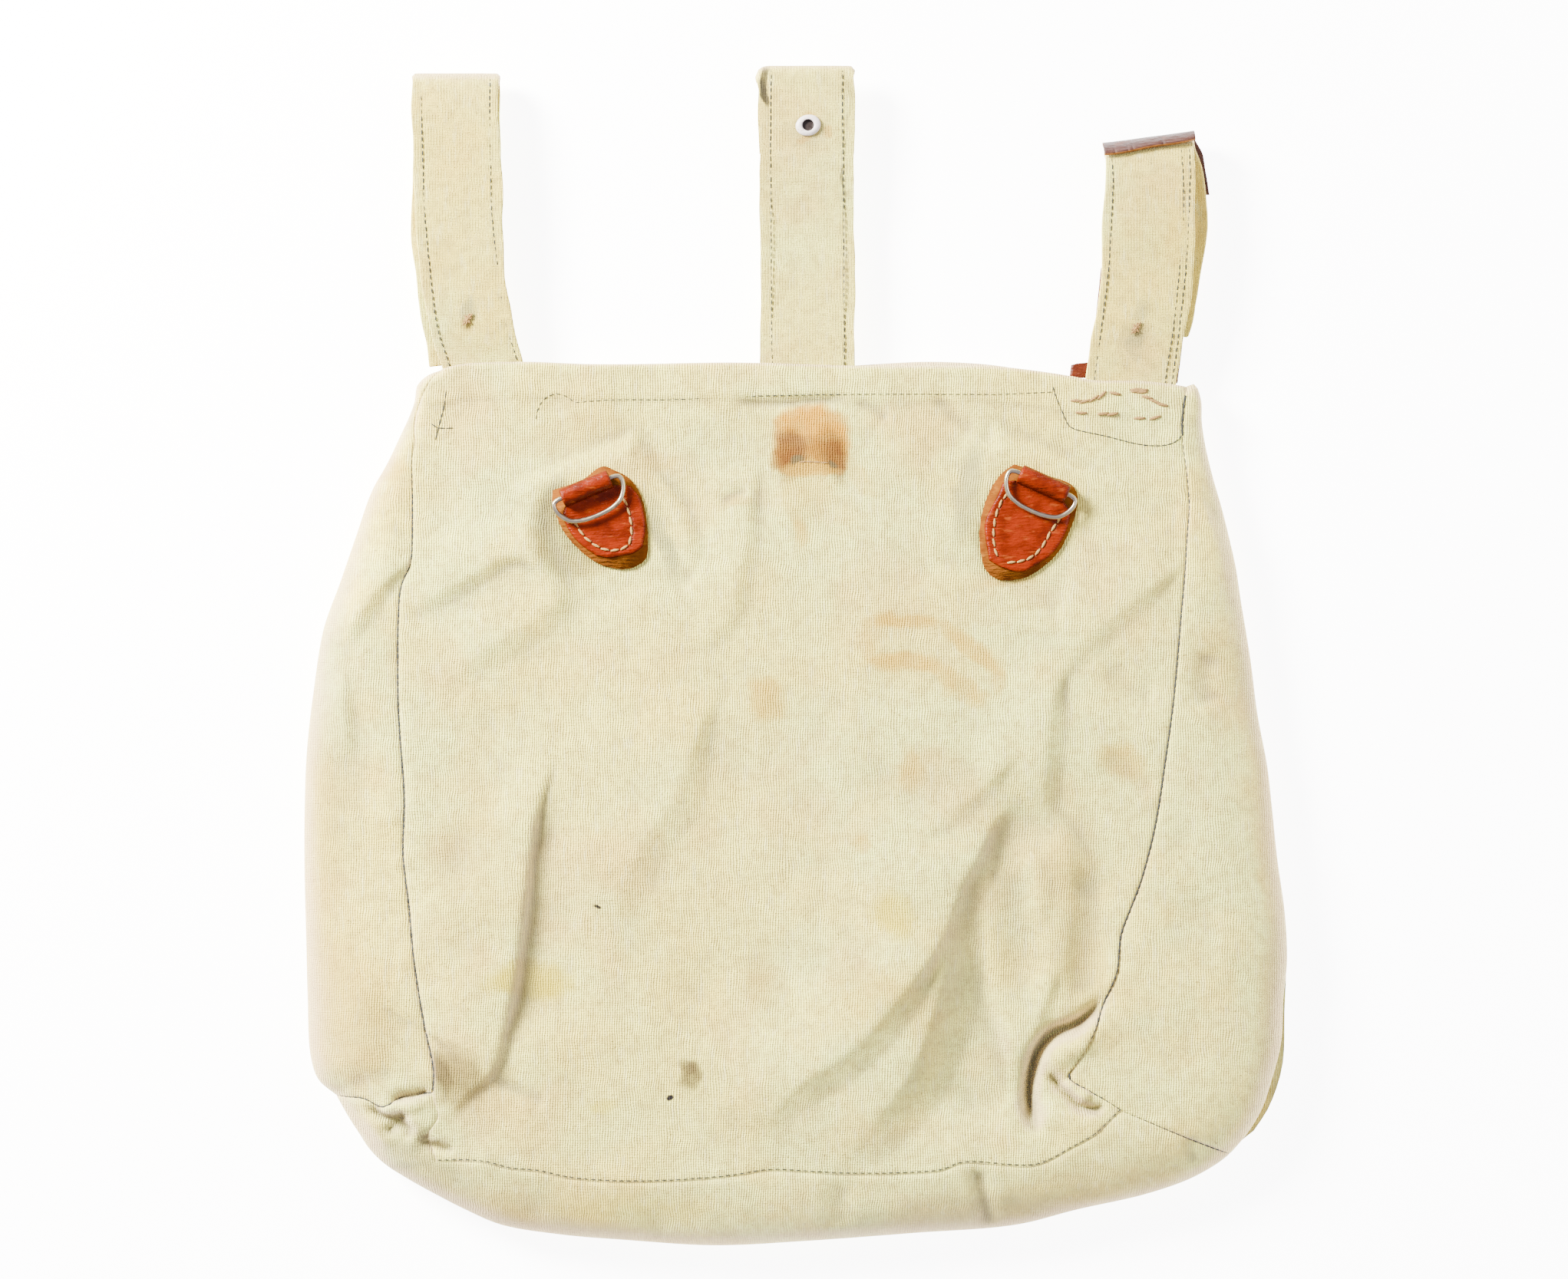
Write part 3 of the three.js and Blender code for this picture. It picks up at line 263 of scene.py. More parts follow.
def canvas(name, stains=(), warmth=0.5, colour=CANVAS_COLOUR, rib=RIB):
    """The worn canvas of one piece, with its own stains, warmth and colour."""
    paint = Paint(name)
    x, y, _ = paint.axes(paint.place())
    clouds = paint.grain(60 * MM, detail=3).between(0.38, 0.64)
    drift = paint.grain(26 * MM, paint.place((1, 1, 3)), detail=4).between(0.42, 0.68)
    blush = paint.grain(34 * MM, paint.place(turn=50), detail=4).between(0.5, 0.72)
    surface = paint.mix(clouds * 0.85, colour, CANVAS_GREEN)
    surface = paint.mix(drift * warmth, surface, CANVAS_WARM)
    surface = paint.mix(blush * 0.55, surface, CANVAS_PINK)
    mottle = paint.grain(3.4 * MM, detail=4).between(0.4, 0.68)
    surface = paint.mix(mottle * 0.42, surface, MOTTLED)
    specks = paint.grain(1.3 * MM, detail=4).between(0.62, 0.76)
    surface = paint.mix(specks * 0.8, surface, SPECKED)
    slubs = paint.grain(1.5 * MM, paint.place((1, 0.16, 1)), detail=3).between(0.54, 0.72)
    surface = paint.mix(slubs * 0.45, surface, BLEACHED)
    waver = paint.grain(9 * MM, detail=1) * 2.2
    ribs = ((x / rib + waver) * math.tau).wave() * 0.5 + 0.5
    cross = ((y / CROSS_THREAD + waver) * math.tau).wave() * 0.5 + 0.5
    weave = ribs * 0.6 + cross * 0.25 + paint.grain(0.6 * MM) * 0.7
    # the gaps between ribs and cross threads are painted darker: painted shade in the weave
    surface = paint.mix((1.15 - weave) * 0.95, surface, RIB_GAP_SHADE)
    soaked = paint.place()
    for size, reach in SPREADING:
        sockets = {"Vector": paint.place(), "Scale": 1 / size, "Detail": 3.0}
        push = paint.node("ShaderNodeTexNoise", {}, sockets, "Color")
        sockets = {0: push, 1: (0.5,) * 3}
        push = paint.node("ShaderNodeVectorMath", {"operation": "SUBTRACT"}, sockets)
        sockets = {0: push, 1: (reach,) * 3, 2: soaked}
        soaked = paint.node("ShaderNodeVectorMath", {"operation": "MULTIPLY_ADD"}, sockets)
    soaked_x, soaked_y, _ = paint.axes(soaked)
    patchy = paint.grain(6 * MM, detail=5).between(0.3, 0.66) * 0.22 + 0.84
    for kind, *stain in stains:
        share = blot(soaked_x, soaked_y, stain) * patchy
        surface = paint.mix(share, surface, STAIN_COLOURS[kind])
    hollow = paint.kept("hollow")
    steep = paint.kept("steep")
    # steep slopes are painted towards a dull brown: painted shade on the sides of the folds
    surface = paint.mix(steep * 0.6, surface, SLOPE_SHADE)
    # creases and hollows are painted darker the deeper they lie: painted shade, with the grime
    # there
    surface = paint.mix(hollow * 0.6, surface, CREASE_SHADE)
    puffs = paint.bump(paint.grain(9 * MM, detail=4), 0.7 * MM)
    return paint.finish(
        {
            "Base Color": surface,
            "Roughness": 0.92,
            "Specular IOR Level": 0.2,
            "Sheen Weight": 0.08,
            "Normal": paint.bump(weave, WEAVE_DEPTH, puffs),
        }
    )


BACK_STAINS = (
    ("rust", 1058, 573, 47, 45, 0, 0.97, 0.5, "square"),
    ("dark_rust", 1056, 592, 42, 24, 0, 0.55, 0.9, "square"),
    ("dark_rust", 1031, 594, 17, 32, -8, 0.85, 0.8),
    ("dark_rust", 1087, 590, 15, 33, 8, 0.85, 0.8),
    ("tea", 1056, 612, 34, 9, 0, 0.56, 0.8),
    ("tea", 1050, 650, 30, 36, 0, 0.34, 0.9),
    ("tea", 1122, 612, 12, 30, 30, 0.42, 0.9),
    ("tea", 1043, 694, 9, 17, 10, 0.63, 0.9),
    ("mould", 1035, 601, 7, 5, 0, 0.98, 0.8),
    ("mould", 1083, 601, 6, 5, 0, 0.98, 0.8),
    ("tea", 1176, 810, 43, 11, -3, 0.87, 0.8),
    ("tea", 1176, 866, 44, 11, -7, 0.84, 0.8),
    ("tea", 1268, 846, 40, 12, -42, 0.77, 0.8),
    ("tea", 1250, 897, 34, 12, -34, 0.7, 0.8),
    ("tea", 1298, 888, 9, 28, -10, 0.42, 0.9),
    ("tea", 1127, 838, 8, 26, 12, 0.36, 0.9),
    ("tea", 996, 912, 20, 24, 20, 0.7, 0.8),
    ("tea", 1186, 1004, 13, 24, 0, 0.59, 0.9),
    ("ochre", 1165, 1190, 20, 26, 35, 0.7, 0.8),
    ("pink", 986, 1282, 20, 34, 0, 0.56, 0.9),
    ("mould", 903, 1400, 13, 20, -20, 0.87, 0.7),
    ("mould", 895, 1388, 9, 12, 30, 0.63, 0.8),
    ("dark", 875, 1430, 4, 3, 0, 0.98, 0.5),
    ("dark", 781, 1186, 5, 3, -20, 0.98, 0.5),
    ("ochre", 690, 1278, 48, 20, 0, 0.84, 0.7),
    ("mould", 590, 1398, 34, 40, 35, 0.7, 0.6),
    ("mould", 575, 1394, 9, 26, 5, 0.84, 0.7),
    ("tea", 1461, 990, 26, 18, -20, 0.59, 0.9),
    ("pink", 958, 650, 16, 9, 0, 0.7, 0.8),
    ("pink", 760, 560, 60, 24, 10, 0.42, 0.9),
    ("pink", 1330, 640, 70, 36, -20, 0.35, 0.9),
    ("pink", 1400, 1180, 34, 120, 3, 0.42, 0.95),
    # grey round the ring tabs: painted shade where the tabs stand off the canvas
    ("grey", 861, 702, 9, 50, 16, 0.6, 0.9),
    ("grey", 722, 655, 11, 36, -22, 0.6, 0.9),
    ("grey", 1262, 640, 13, 56, -8, 0.6, 0.9),
    ("tea", 1312, 758, 34, 7, 5, 0.5, 0.9),
    ("tea", 860, 596, 14, 12, 0, 0.4, 0.9),
    ("pink", 610, 1120, 40, 90, -5, 0.28, 0.9),
    # dark blots under and round the ring tabs: painted shade where they stand off the canvas
    ("mould", 747, 694, 49, 60, 22, 0.6, 0.5),
    ("mould", 1324, 694, 49, 60, -22, 0.6, 0.5),
    ("tea", 1125, 1098, 12, 10, 0, 0.59, 0.9),
    ("ochre", 790, 1440, 14, 9, 0, 0.59, 0.9),
    ("tea", 1150, 1300, 60, 30, -25, 0.28, 0.9),
)


# The back panel, the largest piece of the bag: one piece of canvas, hemmed along the top, that
# bows up where the empty bag stands open and falls in folds. Its outline and the shape of its
# surface are here, and the pieces that are sewn to it use them too. Heights are in millimetres.
CLOTH = 1.1 * MM
EDGE_HEIGHT = 8 * MM
EDGE_ROUND = 26 * MM
TOP_LEFT, TOP_RIGHT = (572, 482), (1549, 504)
SEAM_END_LEFT, CORNER_LEFT, CORNER_RIGHT = (566, 1421), (569, 1514), (1461, 1446)
EDGE_END_LEFT, EDGE_END_RIGHT = (435, 1430), (1606, 1507)

STANDING = (  # down the bag, rise above the side folds, share of the edge's round
    (478, 6.3, 0.08),
    (570, 7.3, 0.3),
    (708, 10.2, 0.62),
    (938, 13.3, 0.92),
    (1168, 15.0, 1),
    (1398, 16.5, 1),
    (1630, 17.0, 1),
)


def smooth_run(knots, steps=16):
    """A smooth curve through knots, as closely spaced points."""
    knots = np.array(knots, float)
    knots = np.vstack([2 * knots[0] - knots[1], knots, 2 * knots[-1] - knots[-2]])
    points = [knots[1:2]]
    for a, b, c, d in zip(knots, knots[1:], knots[2:], knots[3:]):
        gaps = [np.linalg.norm(q - p) ** 0.5 for p, q in ((a, b), (b, c), (c, d))]
        t0, t1, t2, t3 = np.cumsum([0, *gaps])
        t = np.linspace(t1, t2, steps + 1)[1:, None]

        def between(p, q, start, end):
            return ((end - t) * p + (t - start) * q) / (end - start)

        ab, bc, cd = between(a, b, t0, t1), between(b, c, t1, t2), between(c, d, t2, t3)
        points.append(between(between(ab, bc, t0, t2), between(bc, cd, t1, t3), t1, t2))
    return np.vstack(points)


class Line:
    """A smooth line over the bag in plan, read by shares of its length."""

    def __init__(self, *places, points=None):
        self.points = smooth_run([spot(*place) for place in places]) if places else points
        steps = np.linalg.norm(np.diff(self.points, axis=0), axis=1)
        self.lengths = np.concatenate([[0], np.cumsum(steps)])
        self.length = self.lengths[-1]

    def then(self, other):
        return Line(points=np.vstack([self.points, other.points[1:]]))

    def reverse(self):
        return Line(points=self.points[::-1])

    def at(self, shares):
        wanted = np.asarray(shares) * self.length
        return np.stack([np.interp(wanted, self.lengths, axis) for axis in self.points.T], 1)

    def nearest(self, places):
        """For each place its distance from the line, its side, and how far along it is."""
        index = ((places[:, None] - self.points[None]) ** 2).sum(2).argmin(1)
        found = []
        for offset in (-1, 0):
            first = np.clip(index + offset, 0, len(self.points) - 2)
            step = self.points[first + 1] - self.points[first]
            share = ((places - self.points[first]) * step).sum(1) / (step**2).sum(1)
            share = np.clip(share, 0, 1)
            away = places - self.points[first] - share[:, None] * step
            side = np.sign(step[:, 0] * away[:, 1] - step[:, 1] * away[:, 0])
            along = self.lengths[first] + share * np.linalg.norm(step, axis=1)
            found.append((np.linalg.norm(away, axis=1), side, along))
        closer = found[0][0] < found[1][0]
        return [np.where(closer, a, b) for a, b in zip(*found)]


top_edge = Line(
    TOP_LEFT, (601, 475), (684, 472), (773, 475), (961, 473), (1116, 477), (1223, 477),
    (1301, 478), (1347, 483), (1393, 490), (1426, 496), (1490, 497), TOP_RIGHT,
)  # fmt: skip
seam_left = Line(
    TOP_LEFT, (556, 499), (543, 530), (537, 556), (538, 576), (535, 596), (536, 653), (536, 723),
    (533, 738), (522, 765), (519, 800), (518, 835), (519, 914), (522, 962), (525, 997),
    (528, 1046), (526, 1111), (534, 1179), (542, 1257), (555, 1336), (567, 1395), SEAM_END_LEFT,
)  # fmt: skip
seam_right = Line(
    TOP_RIGHT, (1546, 530), (1543, 567), (1549, 622), (1551, 660), (1547, 708), (1544, 753),
    (1538, 818), (1530, 904), (1518, 990), (1508, 1058), (1496, 1114), (1484, 1155),
    (1472, 1186), (1460, 1220), (1455, 1265), (1441, 1300), (1424, 1344), (1403, 1382),
    (1391, 1403), (1417, 1420), (1441, 1433), CORNER_RIGHT,
)  # fmt: skip
corner_seam = Line(SEAM_END_LEFT, (564, 1465), CORNER_LEFT)
bottom_seam = Line(
    CORNER_LEFT, (630, 1514), (666, 1523), (700, 1526), (748, 1536), (827, 1540), (891, 1538),
    (955, 1532), (1003, 1525), (1051, 1527), (1114, 1530), (1225, 1525), (1253, 1515),
    (1350, 1518), (1396, 1496), (1424, 1480), CORNER_RIGHT,
)  # fmt: skip
edge_left = Line(
    TOP_LEFT, (556, 488), (542, 501), (539, 520), (532, 540), (520, 566), (503, 602), (482, 640),
    (461, 700), (440, 761), (419, 820), (406, 900), (397, 980), (394, 1060), (394, 1140),
    (396, 1220), (398, 1300), (402, 1380), (412, 1410), EDGE_END_LEFT,
)  # fmt: skip
edge_right = Line(
    TOP_RIGHT, (1559, 500), (1567, 520), (1568, 548), (1574, 585), (1583, 622), (1594, 660),
    (1604, 700), (1613, 740), (1619, 780), (1632, 860), (1641, 930), (1654, 1000),
    (1660, 1052), (1667, 1120), (1677, 1193), (1680, 1255), (1675, 1303), (1672, 1362),
    (1658, 1417), (1646, 1451), (1627, 1482), EDGE_END_RIGHT,
)  # fmt: skip
edge_bottom = Line(
    EDGE_END_LEFT, (452, 1460), (465, 1480), (478, 1500), (498, 1520), (529, 1540), (565, 1560),
    (604, 1580), (651, 1600), (730, 1613), (814, 1620), (930, 1627), (1055, 1621), (1190, 1611),
    (1326, 1600), (1406, 1580), (1495, 1560), (1553, 1540), (1589, 1520), EDGE_END_RIGHT,
)  # fmt: skip

# The sharp folds: each is a ridge through a few places, with its rise in millimetres, how far its
# steep side falls away on the left of its run, and how far the other side spreads.
RIDGES = (
    # the deep fold beside the left seam, down into the left corner
    (((724, 968), (713, 1008), (699, 1056), (689, 1110), (682, 1170), (674, 1230), (664, 1300),
      (653, 1345), (643, 1384), (630, 1403), (610, 1420), (591, 1443), (571, 1463), (548, 1482)),
     3.7, 4.4, 34),
    # the long fold from the right, falling towards the bottom, and the one beside it
    (((1340, 1047), (1314, 1050), (1292, 1072), (1268, 1120), (1246, 1160), (1235, 1200),
      (1228, 1250), (1218, 1300), (1202, 1350), (1180, 1400), (1143, 1450), (1106, 1495),
      (1076, 1545)), 7.6, 16, 30),
    (((1236, 1180), (1213, 1238), (1188, 1272), (1160, 1306), (1127, 1345), (1090, 1375),
      (1052, 1400), (1024, 1426), (1006, 1452), (1000, 1500)), 4.6, 10, 24),
    # from the right seam down to the hollow over the right corner
    (((1552, 722), (1500, 766), (1455, 800), (1402, 850), (1376, 890)), 1.9, 6, 14),
    (((1398, 858), (1377, 890), (1367, 935), (1361, 990), (1359, 1040), (1366, 1092)),
     2.9, 7, 18),
    (((1368, 1050), (1392, 1110), (1394, 1180), (1388, 1250), (1388, 1310), (1376, 1345)),
     2.9, 11, 14),
    (((1348, 1105), (1358, 1160), (1362, 1215)), 1.3, 4, 6),
    (((1378, 1255), (1362, 1300), (1345, 1350), (1334, 1400)), 2.0, 5, 9),
    # the arcs round the left tab
    (((728, 750), (704, 738), (680, 724), (650, 728), (615, 750), (575, 772), (540, 788),
      (512, 794)), 2.3, 5.0, 17),
    (((792, 735), (752, 764), (715, 794), (670, 825), (630, 850), (598, 874), (560, 898)),
     2.0, 8, 18),
    (((848, 612), (884, 668), (902, 724), (900, 758)), 1.6, 4.5, 6),
    (((988, 592), (978, 648), (973, 700), (963, 752), (951, 800), (928, 828), (884, 840)),
     1.9, 5.5, 16),
    # the wide folds down the middle
    (((940, 880), (905, 965), (882, 1040), (842, 1090), (812, 1160), (782, 1236)), 2.3, 10, 26),
    (((1330, 975), (1290, 1016), (1240, 1058), (1190, 1095)), 1.4, 5, 9),
    (((1260, 560), (1290, 600), (1272, 680)), 1.0, 5, 8),
    # the gussets
    (((546, 726), (506, 752), (482, 782), (462, 812), (442, 850)), 2.5, 5, 11),
    (((447, 872), (450, 930), (453, 1000)), 1.5, 4, 9),
    (((1560, 640), (1590, 720), (1604, 810)), 1.4, 6, 9),
    (((1462, 1215), (1456, 1262), (1442, 1300), (1424, 1344), (1398, 1385)), 0.7, 1.6, 5),
)

# The soft folds and the hollows: places, rise, down if negative, and how far each spreads to the
# left and to the right of its run.
FOLDS = (
    (((735, 1010), (718, 1100), (704, 1200), (692, 1290), (672, 1370)), -1.8, 16, 5),
    (((1300, 1095), (1290, 1160), (1296, 1270), (1318, 1350), (1340, 1420)), 3.0, 7, 5),
    # the hollow that ends in the deep pucker by the right corner
    (((1412, 1120), (1414, 1200), (1408, 1270), (1402, 1320)), -2.6, 7, 8),
    (((1446, 1286), (1430, 1312), (1404, 1336), (1374, 1349), (1354, 1370), (1345, 1400),
      (1343, 1438), (1350, 1486)), -9.0, 2.2, 3.2),
    (((1360, 1396), (1384, 1374), (1416, 1352), (1442, 1326)), 2.8, 6, 4.5),
    (((1362, 1394), (1378, 1413), (1392, 1426), (1406, 1441), (1426, 1445), (1444, 1436)),
     -4.4, 1.6, 1.6),
    (((1384, 1408), (1400, 1424), (1420, 1432)), 2.4, 2.4, 2.4),
    (((1352, 1440), (1390, 1462), (1440, 1466)), 1.5, 5, 5),
    (((1240, 1445), (1290, 1432), (1335, 1408)), -1.0, 7, 6),
    # the middle of the back
    (((644, 880), (634, 950), (620, 1030), (596, 1110), (566, 1170)), -1.7, 12, 12),
    (((936, 656), (955, 645), (976, 636)), -1.1, 2.2, 2.2),
    (((860, 700), (884, 742), (908, 762)), -1.0, 4, 5),
    (((1150, 1000), (1120, 1180), (1060, 1350), (1020, 1500)), 1.2, 24, 24),
    (((1340, 960), (1320, 1100), (1290, 1300), (1250, 1520)), -5.0, 48, 44),
    (((930, 1180), (900, 1330), (930, 1480)), -0.9, 14, 14),
    (((1398, 640), (1440, 690), (1530, 720)), 1.2, 8, 5),
    (((1440, 860), (1470, 900), (1510, 905)), -1.0, 6, 6),
    (((1432, 980), (1462, 1000), (1500, 1040)), -0.9, 6, 6),
    (((640, 1405), (680, 1420), (716, 1438)), -1.0, 3, 3),
    # the tuck in the hem over the rust stain
    (((950, 521), (1000, 524), (1046, 521), (1112, 515)), -1.9, 1.5, 2.4),
    (((1112, 519), (1136, 530), (1160, 548)), -0.8, 2.5, 2.5),
    (((1216, 505), (1240, 540), (1275, 560)), -0.8, 3, 3),
    # the gussets, the front and the gathers at the bottom corners
    (((470, 900), (452, 1080), (462, 1290)), -1.6, 14, 12),
    (((478, 1260), (470, 1360), (490, 1420)), 1.1, 10, 10),
    (((1582, 842), (1571, 884), (1580, 925)), -2.2, 5, 6),
    (((1560, 1120), (1545, 1300), (1560, 1420)), -1.2, 20, 20),
    (((1268, 1514), (1277, 1545), (1286, 1580), (1290, 1606)), -2.6, 3.4, 3),
    (((1300, 1556), (1340, 1574), (1410, 1582)), -1.1, 4, 4),
    (((1545, 1480), (1552, 1496), (1556, 1520)), -1.5, 3, 3),
    (((1100, 1535), (1092, 1570), (1096, 1600)), -1.3, 5, 5),
    (((940, 1540), (900, 1580), (830, 1600)), -1.0, 9, 7),
    (((566, 1419), (540, 1425), (524, 1429), (508, 1438)), -3.4, 1.6, 1.6),
    (((484, 1436), (493, 1452), (514, 1456), (536, 1449)), -4.0, 1.8, 1.8),
    (((490, 1444), (520, 1442), (556, 1436)), 2.4, 2.4, 2.4),
    (((500, 1482), (516, 1466), (531, 1468), (533, 1486)), -4.4, 2.0, 2.0),
    (((524, 1452), (544, 1462), (540, 1500)), 2.2, 2.4, 2.2),
    (((566, 1474), (548, 1486), (572, 1493), (596, 1500)), -3.4, 2.0, 2.0),
    (((476, 1452), (492, 1474), (512, 1496)), 1.8, 3.5, 3.0),
    (((455, 1420), (480, 1400), (520, 1396)), -1.0, 3, 3),
    (((560, 1530), (640, 1550), (720, 1590)), -1.4, 8, 6),
)
ridge_lines = [(Line(*places), rise, fall, spread) for places, rise, fall, spread in RIDGES]
fold_lines = [(Line(*places), rise, left, right) for places, rise, left, right in FOLDS]
RIDGE_FADE, FOLD_FADE = (0.22, 0.34), (0.24, 0.2)  # shares of a run over which it comes and goes
WAVES = ((55, 1, 3.1, 1.1), (21, 1, 7.7, 0.9), (8.5, 0.6, 1.3, 0.3))  # size, stretch, seed, rise
GATHER_SIZE, GATHER_RISE, GATHER_REACH = 6.5 * MM, 0.7 * MM, 6 * MM  # the puckers along the seams
TAB_HALF_WIDTH, TAB_LENGTH, TAB_HEAD = 16 * MM, 35 * MM, 3.6 * MM
PAD_MARGIN, PAD_BLEND = 1.5 * MM, 10 * MM
HEM_STEP, HEM_SLOPE = 0.6 * MM, 1.2 * MM
hinges = {joint["child"]: joint for joint in frame["record"]["behaviour"]["joints"]}
HEM = 12.6 * MM


def smoothstep(values, low, high):
    share = np.clip((values - low) / (high - low), 0, 1)
    return share * share * (3 - 2 * share)


def ripple(places, size, seed):
    """Gentle unevenness from -1 to 1, in waves of about that size."""
    return np.array([noise.noise((x / size, y / size, seed)) for x, y in places])


def round_off(distance, reach):
    return np.sqrt(1 - (1 - np.minimum(distance / reach, 1)) ** 2)


def edge_distance(places):
    return np.min([edge.nearest(places)[0] for edge in (edge_left, edge_bottom, edge_right)], 0)


def standing(places, column):
    rows = np.array(STANDING)
    return np.interp(MIDDLE[1] - places[:, 1] / PIXEL, rows[:, 0], rows[:, column])


def tab_directions(side):
    """A tab's own directions, across and up it, from the hinge of its ring."""
    across = -np.array(hinges[f"ring_{side}"]["axis"][:2])
    return np.array([across, [-across[1], across[0]]])


def along_line(places, line, reach):
    """The places within reach of a line, and where they are from it."""
    low, high = line.points.min(0) - reach, line.points.max(0) + reach
    near = ((places > low) & (places < high)).all(1)
    distance, side, along = line.nearest(places[near])
    return near, distance, side, along / line.length


def come_and_go(share, fade):
    return smoothstep(share, 0, fade[0]) * smoothstep(1 - share, 0, fade[1])


def back_height(places):
    """How high the back lies at places in plan, as its folds, seams and tabs shape it."""
    rise = standing(places, 1) * MM
    for line, lift, fall, spread in ridge_lines:
        near, distance, side, share = along_line(places, line, 2.6 * max(fall, spread) * MM)
        fade = come_and_go(share, RIDGE_FADE)
        fall = fall * MM * (0.3 + 0.7 * smoothstep(share, 0, 0.45))
        fall = fall * (1 - 0.25 * smoothstep(share, 0.72, 0.9))
        steep = (1 - np.minimum(distance / fall, 1)) ** 1.3
        gentle = np.exp(-((distance / (spread * MM)) ** 2))
        rise[near] += lift * MM * fade * np.where(side > 0, steep, gentle)
    for line, lift, left, right in fold_lines:
        near, distance, side, share = along_line(places, line, 2.6 * max(left, right) * MM)
        fade = come_and_go(share, FOLD_FADE)
        reach = np.where(side > 0, left, right) * MM
        rise[near] += lift * MM * fade * np.exp(-((distance / reach) ** 2))
    for size, stretch, seed, lift in WAVES:
        rise = rise + ripple(places * (1, stretch), size * MM, seed) * lift * MM
    for seam in (seam_left, seam_right, bottom_seam):
        distance, _, along = seam.nearest(places)
        gathers = ripple(np.stack([along, along * 0.3], 1), GATHER_SIZE, 5.5)
        rise = rise + gathers * GATHER_RISE * np.exp(-((distance / GATHER_REACH) ** 2))
    round_reach = EDGE_ROUND * standing(places, 2)
    height = EDGE_HEIGHT + rise * round_off(edge_distance(places), round_reach)
    for side in ("left", "right"):
        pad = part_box(f"ring_tab_{side}")[0].z - CLOTH / 2
        away = places - np.array(hinges[f"ring_{side}"]["pos_m"][:2])
        across, up = tab_directions(side) @ away.T
        outside_across = np.abs(across) - TAB_HALF_WIDTH
        outside_up = np.abs(up + (TAB_LENGTH - TAB_HEAD) / 2) - (TAB_LENGTH + TAB_HEAD) / 2
        outside = np.maximum(outside_across, outside_up)
        share = 1 - smoothstep(outside, PAD_MARGIN, PAD_MARGIN + PAD_BLEND)
        height = height * (1 - share) + pad * share
    below_top = np.interp(places[:, 0], *top_edge.points.T) - places[:, 1]
    return height + HEM_STEP * (1 - smoothstep(below_top, HEM - HEM_SLOPE, HEM))


def spanned(start, end, left, right, u, v):
    """Places in the patch of cloth between four lines."""
    u, v = u[:, None], v[:, None]
    ends = [line.at([share])[0] for line in (start, end) for share in (0, 1)]
    flat = start.at(u[:, 0]) * (1 - v) + end.at(u[:, 0]) * v
    flat = flat + left.at(v[:, 0]) * (1 - u) + right.at(v[:, 0]) * u
    corners = ends[0] * (1 - u) * (1 - v) + ends[1] * u * (1 - v) + ends[2] * (1 - u) * v
    return flat - corners - ends[3] * u * v


# How a piece's edge goes down into a seam or round a hem: rows of distance and drop, in mm.
SEAM_EDGE = ((0.16, 2.8), (0.16, 1.3), (0.4, 0.62), (0.8, 0.28), (1.5, 0.07))
FLAT_EDGE = ((0.12, 2.4), (0.12, 0.5), (0.35, 0.1))
HEM_EDGE = ((0.0, 2.2), (0.0, 1.0), (0.35, 0.42), (1.0, 0.1))


def spread(cells, width, start=(), end=(), crowd=1.0):
    """Shares across a piece of that width, and how far the cloth drops at each."""
    first = [(distance * MM / width, drop * MM) for distance, drop in start] or [(0, 0)]
    last = [(1 - distance * MM / width, drop * MM) for distance, drop in reversed(end)] or [(1, 0)]
    steps = 1 - (1 - np.linspace(0, 1, cells + 1)[1:-1]) ** crowd
    inner = [(first[-1][0] + (last[0][0] - first[-1][0]) * step, 0) for step in steps]
    return np.array(first + inner + last).T


def cloth(name, mesh, material, thickness=CLOTH):
    """Finishes a piece that belongs to the bag: smooth, and a sheet with its own thickness."""
    data = bpy.data.meshes.new(name)
    mesh.to_mesh(data)
    mesh.free()
    data.shade_smooth()
    data.materials.append(material)
    piece = bpy.data.objects.new(name, data)
    bpy.context.scene.collection.objects.link(piece)
    if thickness:
        wall = piece.modifiers.new("thickness", "SOLIDIFY")
        wall.thickness = thickness
        wall.offset = 0
        wall.use_even_offset = False
    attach(piece, "bag")
    return piece


CREASES = ((2, 0.7), (6, 2.4))  # cells on each side, and the depth in mm of full painted shade
STEEP_SLOPE = (0.35, 1.1)


def smoothed(grid, reach):
    """A grid with each value averaged over that many cells on each side, both ways."""
    for _ in range(2):
        padded = np.pad(grid, ((reach, reach), (0, 0)), "edge")
        grid = np.mean([padded[i : i + len(grid)] for i in range(2 * reach + 1)], 0).T
    return grid


def shaped(name, across, down, place_at, material, thickness=CLOTH):
    """A sheet of cloth, cut as a grid and laid where place_at says for its shares and rows.

    How deep and how steep each place lies is kept, for the painted shade on steep slopes and the
    painted shade and grime in creases.
    """
    mesh = bmesh.new()
    last_column, last_row = len(across[0]) - 1, len(down[0]) - 1
    bmesh.ops.create_grid(mesh, x_segments=last_column, y_segments=last_row, size=0.5)
    columns = [round((vertex.co.x + 0.5) * last_column) for vertex in mesh.verts]
    rows = [round((0.5 - vertex.co.y) * last_row) for vertex in mesh.verts]
    points = place_at(across[0][columns], down[0][rows])
    points[:, 2] -= np.maximum(across[1][columns], down[1][rows])
    heights = np.zeros((last_row + 1, last_column + 1))
    heights[rows, columns] = points[:, 2]
    hollows = sum((smoothed(heights, reach) - heights) / depth for reach, depth in CREASES)
    smooth = smoothed(heights, 1)
    run = np.zeros((2, last_row + 1, last_column + 1))
    run[:, rows, columns] = points[:, :2].T
    slopes = 0
    for axis in (0, 1):
        step = np.hypot(*np.gradient(run, axis=axis + 1)) + 0.05 * MM
        slopes = slopes + (np.gradient(smooth, axis=axis) / step) ** 2
    slopes = smoothstep(np.sqrt(slopes), *STEEP_SLOPE)
    hollow, steep = (mesh.verts.layers.float.new(layer) for layer in ("hollow", "steep"))
    for vertex, point, row, column in zip(mesh.verts, points, rows, columns):
        vertex.co = point
        vertex[hollow] = min(max(hollows[row, column] / MM, 0), 1)
        vertex[steep] = slopes[row, column]
    return cloth(name, mesh, material, thickness)


def with_height(flat, height):
    return np.column_stack([flat, height])


